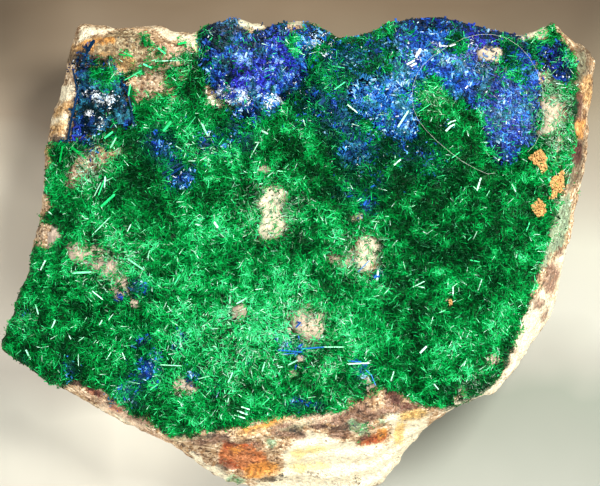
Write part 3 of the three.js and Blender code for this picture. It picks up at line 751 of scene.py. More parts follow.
# The rock's solid with fine breakage worked into it
def makeRock():
    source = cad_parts["matrix_rock"]
    rough = bpy.data.objects.new("rough", source.data.copy())
    bpy.context.scene.collection.objects.link(rough)
    remesh = rough.modifiers.new("remesh", "REMESH")
    remesh.mode = "VOXEL"
    remesh.voxel_size = rock["voxel"]
    mesh = bpy.data.meshes.new_from_object(rough.evaluated_get(bpy.context.evaluated_depsgraph_get()))
    bpy.data.objects.remove(rough)
    count = len(mesh.vertices)
    places = np.zeros(count * 3)
    normals = np.zeros(count * 3)
    mesh.vertices.foreach_get("co", places)
    mesh.vertices.foreach_get("normal", normals)
    places = places.reshape(-1, 3)
    normals = normals.reshape(-1, 3)
    upward = normals[:, 2]
    moved = np.zeros(count)
    for seed, (size, depth) in enumerate(rock["breakage"]):
        moved += depth * (1 - 2 * np.abs(noise(places, size, 10 + seed, 2)))
    bedSize, bedDepth = rock["bedding"]
    waveSize, waveHeight = rock["bedWaves"]
    beds = places[:, 2] / bedSize + waveHeight * noise(places, waveSize, 3)
    level = np.stack([np.floor(beds) * bedSize, np.zeros(count), np.zeros(count)], -1)
    moved += bedDepth * noise(places + rock["bedShift"] * level, rock["bedLumps"], 17) * (1 - np.abs(upward))
    moved += rock["swell"] - rock["sunkFront"] * np.clip(upward, 0, 1)
    places = places + normals * moved[:, None]
    places[:, 2] = np.maximum(places[:, 2], 0)
    faces = [tuple(face.vertices) for face in mesh.polygons]
    flat = places[:, :2]
    values = {}
    for stainName in rock["stains"]:
        strength = greatestShare(rock[stainName], flat, *edges["stains"])
        if stainName in ("felted", "crusted"):
            strength *= 1 - bareShare(flat)
        values[stainName] = strength * smoothstep(*rock["stainedTilt"], upward)
    piece = meshPiece("stained_rock", places, faces, rockMaterial(), values, True)
    bpy.data.meshes.remove(mesh)
    dress(piece, "matrix_rock")
    return piece


rockPiece = makeRock()
report("rock", rockPiece)


# The felt's ground, from which the needles grow
felt = {
    "spacing": 0.4 * mm,
    "sunk": 0.62 * mm,  # how far the ground is below the solid's own surface, which the tips reach
    "depth": 2.2 * mm,
    "tufts": (1.3 * mm, 0.3 * mm),  # size and height
    "tussocks": (5.5 * mm, 0.2 * mm),
    "edgeRoll": 1.5 * mm,  # width of the rolled edge
    "seed": 51,
    "finish": (0.7, 0.2),
    "ground": [(0.35, (0.0006, 0.014, 0.003)), (0.7, (0.003, 0.1, 0.02))],
    "underSpecks": (0.006, 0.05, 0.22),
    "thinStone": (0.35, 0.285, 0.235),
    "thinCover": 0.7,
    "paleCover": 0.9,
    "paleRange": (0.0, 0.45),  # from where the windows' pale stone starts to where it is full
    "bareBroken": 1.1,  # how far the grain breaks up the edge of bare stone
    "bareRange": (0.42, 0.66),
    "bumpStrength": 0.4,
    "windowRise": 0.42 * mm,
}


def feltGroundMaterial():
    material, tree, shader = newMaterial("feltGround", *felt["finish"])
    stone, _, height, noises = stonePattern(tree, objectPlace(tree))
    grain = noises["grain"]
    stone = mixed(tree, felt["thinCover"], stone, felt["thinStone"])
    stains = rock["stains"]
    cream = mixed(tree, attribute(tree, "rosyPale"), stains["pale"][0], stains["rosyPale"][0])
    pale = spreadOf(tree, attribute(tree, "pale"), *felt["paleRange"])
    stone = mixed(tree, product(tree, pale, felt["paleCover"]), stone, cream)
    colour = mixed(tree, attribute(tree, "blue"), ramp(tree, grain, felt["ground"]), felt["underSpecks"])
    broken = product(tree, calculated(tree, "SUBTRACT", grain, 0.5), felt["bareBroken"])
    bare = spreadOf(tree, calculated(tree, "ADD", attribute(tree, "bare"), broken), *felt["bareRange"])
    tree.links.new(mixed(tree, bare, colour, stone), shader.inputs["Base Color"])
    addBump(tree, shader, height, felt["bumpStrength"], rock["bump"])
    return material


# A closed sheet over a height map's footprint
def sheetMesh(heightMap, tops, bottoms):
    solid = heightMap.solid
    cells = solid[:-1, :-1] & solid[1:, :-1] & solid[:-1, 1:] & solid[1:, 1:]
    number = np.full(solid.shape, -1)
    used = np.zeros(solid.shape, bool)
    for i, j in np.ndindex(2, 2):
        used[i : i + cells.shape[0], j : j + cells.shape[1]] |= cells
    number[used] = np.arange(used.sum())
    places = heightMap.places()[used]
    top = np.column_stack([places, tops[used]])
    bottom = np.column_stack([places, bottoms[used]])
    count = len(top)
    i, j = np.nonzero(cells)
    corners = [number[i, j], number[i + 1, j], number[i + 1, j + 1], number[i, j + 1]]
    quads = np.stack(corners, 1)
    faces = quads.tolist() + (quads[:, ::-1] + count).tolist()
    padded = np.pad(cells, 1)
    sides = [((0, -1), 0, 1), ((1, 0), 1, 2), ((0, 1), 2, 3), ((-1, 0), 3, 0)]
    for (di, dj), first, second in sides:
        beyond = ~padded[i + 1 + di, j + 1 + dj]
        a = quads[beyond, first]
        b = quads[beyond, second]
        faces += np.stack([a, a + count, b + count, b], 1).tolist()
    return np.concatenate([top, bottom]), faces


# A crust's ground: the top of its solid, lowered by the crystals' height, with tufts and tussocks on it
class Ground:
    flattened = (2, 3)  # steps that take the solid's own crystals off, and that smooth what is left
    pastEdge = 4
    rolledUnder = 0.9  # how far the edge rolls down, as a share of the crystals' height

    def __init__(self, nodeName, settings, seed):
        self.map = HeightMap([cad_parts[nodeName].data], settings["spacing"])
        self.map.flatten(*self.flattened)
        self.map.spread(self.pastEdge)
        places = self.map.places().reshape(-1, 2)
        shape = tuple(self.map.counts)
        tufts = noise(places, settings["tufts"][0], seed, 2).reshape(shape)
        tussocks = noise(places, settings["tussocks"][0], seed + 5).reshape(shape)
        edge = self.map.edgeDistance(int(settings["edgeRoll"] / settings["spacing"]))
        self.edge = np.clip(edge / settings["edgeRoll"], 0, 1)
        relief = tufts * settings["tufts"][1] + tussocks * settings["tussocks"][1]
        roll = settings["sunk"] * self.rolledUnder * (1 - self.edge) ** 2
        self.tops = self.map.heights - settings["sunk"] + relief * self.edge - roll
        self.bottoms = self.map.heights - settings["depth"]


feltGround = Ground("brochantite_felt", felt, felt["seed"])
gridPlaces = feltGround.map.places().reshape(-1, 2)
rise = bareShare(gridPlaces).reshape(feltGround.tops.shape)
feltGround.tops += felt["windowRise"] * rise * feltGround.edge
feltVertices, feltFaces = sheetMesh(feltGround.map, feltGround.tops, feltGround.bottoms)
feltPlaces = feltVertices[:, :2]
feltValues = {
    "bare": bareShare(feltPlaces),
    "pale": windowShare(feltPlaces),
    "rosyPale": greatestShare(rock["rosyPale"], feltPlaces, *edges["rosyGround"]),
    "blue": np.clip(zoneSum(specks, feltPlaces), 0, 1),
}
feltBase = meshPiece("felt_ground", feltVertices, feltFaces, feltGroundMaterial(), feltValues)
dress(feltBase, "brochantite_felt")
report("felt ground", feltBase)


# The azurite crusts' ground and their grains
azurite = {
    "spacing": 0.3 * mm,
    "sunk": 0.32 * mm,
    "depth": 1.9 * mm,
    "tufts": (1.3 * mm, 0.22 * mm),
    "tussocks": (4 * mm, 0.22 * mm),
    "edgeRoll": 1.2 * mm,
    "grain": (0.08 * mm, 0.32 * mm),
    "slender": 1.4,
    "grainCounts": {"low": 11500, "high": 6000},
    "grainSunk": (-0.3, 0.4),  # how far the grains lie below or above the ground, in their own sizes
    "speckLift": 0.35 * mm,
    "highLift": 0.25 * mm,
    "speckClumps": (0.5, 2.0, (0.7 * mm, 66, 2)),  # base, strength, and size, seed and octaves
    "speckStrength": 1.8,
    "whiteStrength": 0.6,
    "windowClear": 0.9,
    "cell": 0.16 * mm,
    "cellTones": [(0.1, 0.25), (0.35, 0.7), (0.6, 1.1), (0.85, 1.6), (1.0, 2.4)],
    "bump": (0.9, 0.12 * mm),
    "groundFinish": (0.4, 0.1),
    "crystalFinish": (0.33, 0.12, (0.35, 0.6, 1.0)),  # roughness, specular and its tint
    "tone": 0.37,
    "toneLimit": 0.9,
    "paleFrom": 0.62,
    "rightward": (0, 6 * mm),  # where the crusts change from the left one's look to the right one's
    "rightTone": 0.02,
    "rightCalmer": 0.36,
    "mottling": [(1.4 * mm, 0.36, 61, 3), (0.45 * mm, 0.66, 62, 2)],  # size, strength, seed, octaves
    "violetNoise": [(1.2 * mm, 0.3, 63, 2)],
    "violetBase": 0.1,
    "violetMost": 0.85,
    "tealNoise": [(0.9 * mm, 1.0, 64, 2)],
    "tealRange": (0.1, 0.5),
    "tealMost": 0.78,
    "whitened": (0.4, 0.9, 0.6),  # of the ground: from where, to where, and how much at most
    "ownTone": (-0.02, 0.17),  # of each grain: mean and spread
    "ownViolet": (0.5, 1.2),  # least and most
    "ownTeal": (0.3, 1.2),
    "ownDustAndSheen": (0, 1.6),
    "dustAndSheenMost": 0.8,
    "flashing": (0.08, 0.1, 0.6),  # painted highlight: the share of grains painted lighter as if they flash, and how much lighter they are
    "whiteAndGlintChance": (0.022, 3.2),  # anywhere, as painted glints, and in the white zones, as white specks
    "whiteClumps": [(0.5 * mm, 1.0, 68, 2)],
    "clumpRange": (-0.1, 0.35),
    "whiteness": (0.5, 1.0),
    "violetRise": (0.3, 2.5),  # how violet the darkest grains are, and how fast that grows with the tone
    "lilacMost": 0.6,
    "tealRise": (3.2, 0.1, 1.3),  # how fast teal lightens with the tone, and its darkest and lightest
    "tones": [  # from the darkest grains to the palest
        (0.0, (0.0004, 0.008, 0.015)), (0.18, (0.002, 0.026, 0.09)), (0.42, (0.007, 0.052, 0.31)),
        (0.6, (0.016, 0.14, 0.48)), (0.76, (0.05, 0.29, 0.65)), (0.88, (0.28, 0.54, 0.76)),
        (1.0, (0.82, 0.93, 0.98)),
    ],
    "violet": (0.024, 0.016, 0.37),
    "lilac": (0.2, 0.24, 0.62),
    "teal": (0.015, 0.12, 0.11),
    "dustAndSheen": (0.34, 0.4, 0.44),
    # A greyer tint on grains: partly dust, partly painted sheen
    "dustAndSheenZones": [
        (515, 112, 30, 0.22), (490, 64, 22, 0.2), (462, 56, 16, 0.18), (240, 32, 26, 0.14),
        (400, 50, 24, 0.06),
    ],
    "white": (0.85, 0.92, 0.96),
    "islands": [
        [(498, 58), (512, 54), (530, 62), (534, 74), (520, 80), (504, 76)],
        [(500, 36), (516, 36), (524, 48), (514, 56), (504, 50)],
        [(448, 34), (460, 32), (466, 42), (462, 54), (452, 56), (446, 46)],
        [(288, 40), (300, 38), (304, 52), (296, 60), (288, 52)],
        [(92, 63), (110, 63), (116, 78), (108, 88), (96, 84)],
        [(112, 112), (122, 110), (126, 124), (114, 126)],
        [(500, 66), (512, 62), (524, 72), (520, 80), (506, 76)],
    ],
    # Lighter azurite: painted reflection of the lamp on the right crust near (370-400, 55-110), and brighter
    # azure elsewhere
    "azureAndReflectionZones": [
        (398, 88, 28, 0.18), (372, 98, 24, 0.18), (440, 56, 26, 0.12), (400, 55, 16, 0.16),
        (512, 112, 22, 0.1), (455, 75, 20, 0.12), (314, 33, 11, 0.35), (190, 178, 7, 0.35),
        (352, 152, 10, 0.2), (148, 370, 12, 0.24), (282, 39, 8, 0.14), (240, 68, 26, 0.06),
        (525, 90, 20, 0.08), (300, 348, 30, 0.24), (120, 395, 24, 0.2), (192, 375, 10, 0.2),
        (295, 405, 10, 0.2), (366, 264, 8, 0.3), (405, 125, 14, 0.2), (365, 380, 14, 0.24),
    ],
    "darkZones": [
        (92, 70, 36, 0.24), (92, 128, 30, 0.2), (102, 104, 24, 0.12), (124, 100, 12, 0.2),
        (232, 80, 18, 0.1), (222, 50, 14, 0.16), (216, 36, 22, 0.3), (508, 45, 24, 0.24),
        (350, 150, 40, 0.1), (560, 60, 30, 0.26), (325, 90, 26, 0.26), (500, 150, 26, 0.18),
        (255, 118, 20, 0.22), (298, 62, 12, 0.24), (375, 42, 22, 0.2), (300, 100, 20, 0.2),
        (470, 30, 26, 0.14), (430, 26, 16, 0.16), (500, 84, 18, 0.1), (175, 168, 12, 0.14),
        (150, 145, 14, 0.1), (88, 100, 20, 0.16),
    ],
    "violetZones": [
        (240, 78, 22, 0.8), (262, 70, 24, 0.5), (282, 64, 8, 0.6), (281, 37, 8, 0.9), (86, 92, 14, 0.4),
        (128, 108, 14, 0.4), (70, 128, 14, 0.6), (84, 56, 14, 0.6), (490, 38, 18, 0.7), (282, 38, 12, 0.7),
        (465, 30, 20, 0.5), (555, 65, 16, 0.4), (500, 110, 30, 0.35), (295, 70, 10, 0.4), (72, 76, 10, 0.5),
    ],
    "tealZones": [
        (100, 96, 30, 1.1), (110, 118, 18, 0.5), (288, 86, 10, 0.5), (292, 46, 10, 0.5), (218, 34, 22, 0.3),
        (380, 48, 24, 0.4), (330, 80, 24, 0.4), (420, 90, 24, 0.2), (255, 118, 20, 0.4),
        (345, 120, 20, 0.3), (350, 165, 24, 0.3), (120, 395, 24, 0.3),
    ],
    "whiteZones": [
        (230, 96, 8, 1.2), (242, 98, 8, 1.2), (272, 101, 7, 1.1), (279, 103, 4, 0.8), (220, 91, 5, 0.8),
        (320, 47, 9, 0.9), (328, 42, 6, 0.7), (314, 40, 4, 0.5), (418, 54, 4, 1.5), (411, 63, 4, 1.3),
        (436, 46, 5, 0.8), (92, 95, 7, 0.7), (103, 102, 9, 0.6), (88, 114, 4, 1.2), (101, 124, 6, 0.8),
        (77, 86, 4, 0.9), (110, 98, 5, 0.5), (472, 42, 6, 0.2), (228, 98, 6, 0.6), (262, 132, 5, 0.4),
        (212, 148, 6, 0.2), (168, 183, 3, 0.4), (176, 179, 3, 0.5), (184, 173, 3, 0.4), (185, 122, 5, 0.25),
        (449, 123, 6, 0.7), (520, 96, 6, 0.15), (76, 60, 3, 0.4),
    ],
    "blades": [  # both ends, width in pixels, tone
        (94, 40, 88, 50, 3.5, 0.06), (89, 48, 82, 62, 4, 0.05), (72, 68, 77, 92, 2.6, 0.1),
        (77, 92, 71, 118, 2.6, 0.12), (71, 116, 67, 141, 3, 0.06), (118, 77, 127, 92, 2, 0.1),
        (127, 91, 131, 108, 2, 0.12), (131, 107, 133, 125, 2, 0.08), (162, 174, 183, 161, 1.6, 0.1),
        (163, 176, 185, 163, 1.6, 0.02), (166, 178, 181, 168, 1.6, 0.28), (170, 172, 186, 165, 1.4, 0.2),
        (278, 350, 303, 352, 1.6, 0.6),
        (300, 349, 325, 347, 1.3, 0.6), (282, 354, 296, 353, 1.2, 0.62), (348, 361, 362, 362, 1.5, 0.6),
        (366, 370, 372, 376, 1.2, 0.7), (371, 374, 376, 386, 1.2, 0.7), (358, 272, 370, 260, 1.2, 0.66),
        (296, 327, 301, 322, 3, 0.5), (416, 57, 421, 48, 2.6, 1.0), (407, 64, 415, 60, 3, 0.97),
        (411, 66, 417, 63, 2, 1.0), (441, 46, 448, 46, 1.8, 1.0), (450, 46, 456, 44, 1.8, 1.0),
    ],
}

# The streaks along and across every crystal
streaks = {"size": 0.2 * mm, "detail": 2, "tones": [(0.3, 0.65), (0.7, 1.2)]}


# Stops of a ramp from dark to light, as greys
def greys(stops):
    return [(position, (level,) * 3) for position, level in stops]


# The colour that a mesh has at each vertex, shaded by a texture
def setShadedColour(tree, shader, shade):
    colour = mixed(tree, 1.0, attribute(tree, "colour", "Color"), shade, "MULTIPLY")
    tree.links.new(colour, shader.inputs["Base Color"])


def crystalMaterial(name, roughness, specular, specularTint):
    material, tree, shader = newMaterial(name, roughness, specular)
    shader.inputs["Specular Tint"].default_value = (*specularTint, 1)
    streak = noiseTexture(tree, objectPlace(tree), streaks["size"], streaks["detail"])
    setShadedColour(tree, shader, ramp(tree, streak, greys(streaks["tones"])))
    return material


# Two unit vectors across each axis, turned about it by an angle
def acrossAxes(axes, turns):
    isSteep = np.abs(axes[:, 2:3]) >= 0.9
    helper = np.where(isSteep, np.array([[1.0, 0.0, 0.0]]), np.array([[0.0, 0.0, 1.0]]))
    first = np.cross(axes, helper)
    first /= np.linalg.norm(first, axis=1, keepdims=True)
    second = np.cross(axes, first)
    cosine = np.cos(turns)[:, None]
    sine = np.sin(turns)[:, None]
    return first * cosine + second * sine, second * cosine - first * sine


# Straight crystals with flat sides and a short point, all in one list of vertices and faces
def prismMesh(feet, axes, lengths, widths, sides, point, random, flattest=0.45):
    count = len(feet)
    first, second = acrossAxes(axes, random.uniform(0, 2 * math.pi, count))
    flatness = random.uniform(flattest, 1.0, count)[:, None]
    rings = []
    for share in (0.0, 1.0 - point):
        for k in range(sides):
            angle = 2 * math.pi * k / sides
            out = first * math.cos(angle) + second * flatness * math.sin(angle)
            rings.append(feet + axes * (lengths * share)[:, None] + out * (widths / 2)[:, None])
    rings.append(feet + axes * lengths[:, None])
    shape = []
    for k in range(sides):
        after = (k + 1) % sides
        shape += [(k, after, sides + after, sides + k), (sides + k, sides + after, 2 * sides)]
    shape.append(tuple(reversed(range(sides))))
    return np.stack(rings, 1), repeatedFaces(shape, count, 2 * sides + 1)


# The faces of one shape, repeated for each copy of it
def repeatedFaces(sides, count, corners):
    starts = np.arange(count) * corners
    faces = []
    for side in sides:
        faces += np.stack([starts + corner for corner in side], 1).tolist()
    return faces


# Blocky grains turned every way; half of each side is a share of the grain's size
blocky = {"long": (0.4, 0.75), "wide": (0.25, 0.5), "thick": (0.15, 0.4)}


def grainMesh(middles, sizes, random, slender=1.0):
    count = len(middles)
    axes = random.normal(size=(count, 3))
    axes /= np.linalg.norm(axes, axis=1, keepdims=True)
    first, second = acrossAxes(axes, random.uniform(0, 2 * math.pi, count))
    long = sizes[:, None] * random.uniform(*blocky["long"], (count, 1)) * slender
    wide = sizes[:, None] * random.uniform(*blocky["wide"], (count, 1)) / slender
    thick = sizes[:, None] * random.uniform(*blocky["thick"], (count, 1)) / slender
    corners = []
    for c in (-1, 1):
        for a, b in ((-1, -1), (1, -1), (1, 1), (-1, 1)):
            corners.append(middles + a * axes * long + b * first * wide + c * second * thick)
    sides = [(0, 3, 2, 1), (4, 5, 6, 7), (0, 1, 5, 4), (1, 2, 6, 5), (2, 3, 7, 6), (3, 0, 4, 7)]
    return np.stack(corners, 1), repeatedFaces(sides, count, 8)


def blended(first, second, share):
    return first * (1 - share[:, None]) + np.asarray(second) * share[:, None]


# A crust's ground between the grains that stand on it, darker or lighter in each fine cell
def azuriteGroundMaterial():
    material, tree, shader = newMaterial("azuriteGround", *azurite["groundFinish"])
    cells, chance = cellTexture(tree, objectPlace(tree), azurite["cell"])
    setShadedColour(tree, shader, ramp(tree, chance, greys(azurite["cellTones"])))
    addBump(tree, shader, cells.outputs["Distance"], *azurite["bump"])
    return material


# Colours from a list of tones, at values from 0 to 1
def toned(tones, values):
    stops = [position for position, colour in tones]
    channels = [np.interp(values, stops, [colour[k] for position, colour in tones]) for k in range(3)]
    return np.stack(channels, 1)


# The tone and colour of the azurite at each place
def azuriteField(places):
    right = smoothstep(*azurite["rightward"], places[:, 0])
    tone = azurite["tone"] + azurite["rightTone"] * right + zoneSum(azurite["azureAndReflectionZones"], places)
    tone -= zoneSum(azurite["darkZones"], places)
    tone += (1 - azurite["rightCalmer"] * right) * noiseSum(azurite["mottling"], places)
    violet = zoneSum(azurite["violetZones"], places) + azurite["violetBase"]
    violet += noiseSum(azurite["violetNoise"], places)
    teal = noiseSum(azurite["tealNoise"], places) + zoneSum(azurite["tealZones"], places)
    teal = azurite["tealMost"] * smoothstep(*azurite["tealRange"], teal)
    return tone, np.clip(violet, 0, azurite["violetMost"]), teal


# Dark tones turn violet and pale ones lilac; teal is darker where the tone is
def azuriteMixed(tone, violet, teal):
    colours = toned(azurite["tones"], np.clip(tone, 0, azurite["toneLimit"]))
    isPale = tone >= azurite["paleFrom"]
    base, growth = azurite["violetRise"]
    colours = blended(colours, azurite["violet"], violet * ~isPale * np.clip(base + growth * tone, 0, 1))
    colours = blended(colours, azurite["lilac"], azurite["lilacMost"] * violet * isPale)
    growth, *limits = azurite["tealRise"]
    tealColours = np.array(azurite["teal"]) * np.clip(growth * tone, *limits)[:, None]
    return blended(colours, tealColours, teal)


azuriteGroundLook = azuriteGroundMaterial()
azuriteCrusts = ("left", "right", "corner", "edge")
azuriteBases = []
for seed, place in enumerate(azuriteCrusts):
    ground = Ground("azurite_crust_" + place, azurite, 71 + seed)
    vertices, faces = sheetMesh(ground.map, ground.tops, ground.bottoms)
    colours = azuriteMixed(*azuriteField(vertices[:, :2]))
    low, high, most = azurite["whitened"]
    whitened = smoothstep(low, high, zoneSum(azurite["whiteZones"], vertices[:, :2]))
    colours = blended(colours, azurite["white"], most * whitened)
    base = meshPiece("azurite_ground_" + place, vertices, faces, azuriteGroundLook, {"colour": colours})
    dress(base, "azurite_crust_" + place)
    azuriteBases.append(base)
report("azurite ground", *azuriteBases)


# Everything that crystals can stand on
groundPieces = [rockPiece, feltBase] + azuriteBases
standing = HeightMap([piece.data for piece in groundPieces], azurite["spacing"])
standing.fillTrenches(2)
standing.spread(3)


def feltShare(places):
    return patchShare(feltOutline, places, *edges["felt"])


def azuriteShare(places):
    share = greatestShare(azuritePatches, places, *edges["azurite"])
    return share * (1 - greatestShare(azurite["islands"], places, *edges["islands"]))


# Random places on the front, each kept with the chance that a function gives it
def scattered(count, chanceAt, random):
    kept = np.zeros((0, 2))
    low = standing.low
    high = low + standing.counts * standing.spacing
    while len(kept) < count:
        places = random.uniform(low, high, (count, 2))
        places = places[standing.holds(places)]
        places = places[random.random(len(places)) < chanceAt(places)]
        kept = np.concatenate([kept, places])
    return kept[:count]


def standingHeight(places):
    return standing.sample(np.nan_to_num(standing.heights, nan=0.0), places)


# The colour of each azurite grain, from where it is and by chance
def azuriteColours(places, sizes, random):
    count = len(places)
    tone, violet, teal = azuriteField(places)
    flashShare, *lighter = azurite["flashing"]
    own = random.normal(*azurite["ownTone"], count)
    own += (random.random(count) < flashShare) * random.uniform(*lighter, count)
    violet *= random.uniform(*azurite["ownViolet"], count)
    teal *= random.uniform(*azurite["ownTeal"], count)
    colours = azuriteMixed(tone + own, violet, teal)
    # Greyer grains: partly dust, partly painted sheen
    dustAndSheen = np.clip(zoneSum(azurite["dustAndSheenZones"], places), 0, azurite["dustAndSheenMost"])
    dustAndSheen *= random.uniform(*azurite["ownDustAndSheen"], count)
    colours = blended(colours, azurite["dustAndSheen"], np.clip(dustAndSheen, 0, 1))
    clumps = smoothstep(*azurite["clumpRange"], noiseSum(azurite["whiteClumps"], places))
    anywhere, inZones = azurite["whiteAndGlintChance"]
    whiteAndGlintChance = anywhere + inZones * clumps * zoneSum(azurite["whiteZones"], places)
    small, large = azurite["grain"]
    isSmall = sizes < 0.45 * small + 0.55 * large
    white = (random.random(count) < whiteAndGlintChance * isSmall).astype(float)
    return blended(colours, azurite["white"], white * random.uniform(*azurite["whiteness"], count))


azuriteMaterial = crystalMaterial("azuriteCrystal", *azurite["crystalFinish"])


def grainChance(places):
    base, strength, clumpNoise = azurite["speckClumps"]
    clumps = np.clip(base + strength * noise(places, *clumpNoise), 0, 1)
    share = azuriteShare(places) + azurite["speckStrength"] * zoneSum(specks, places) * clumps
    share = share + azurite["whiteStrength"] * zoneSum(azurite["whiteZones"], places)
    return np.clip(share, 0, 1) * (1 - azurite["windowClear"] * windowShare(places))


def makeGrains(level, seed):
    random = np.random.default_rng(seed)
    places = scattered(azurite["grainCounts"][level], grainChance, random)
    small, large = azurite["grain"]
    sizes = small + (large - small) * random.random(len(places)) ** 3
    lift = random.uniform(*azurite["grainSunk"], len(places)) * sizes
    lift += azurite["speckLift"] * np.clip(zoneSum(specks, places), 0, 1) * (1 - azuriteShare(places))
    if level == "high":
        lift += random.uniform(0.0, azurite["highLift"], len(places))
    middles = np.column_stack([places, standingHeight(places) + lift])
    grains, grainFaces = grainMesh(middles, sizes, random, azurite["slender"])
    colours = np.repeat(azuriteColours(places, sizes, random), 8, axis=0)
    piece = meshPiece("azurite_grains_" + level, grains, grainFaces, azuriteMaterial, {"colour": colours})
    for place in azuriteCrusts:
        dress(piece, "azurite_crust_" + place)
    report("azurite grains " + level, piece)


makeGrains("low", 71)
makeGrains("high", 72)


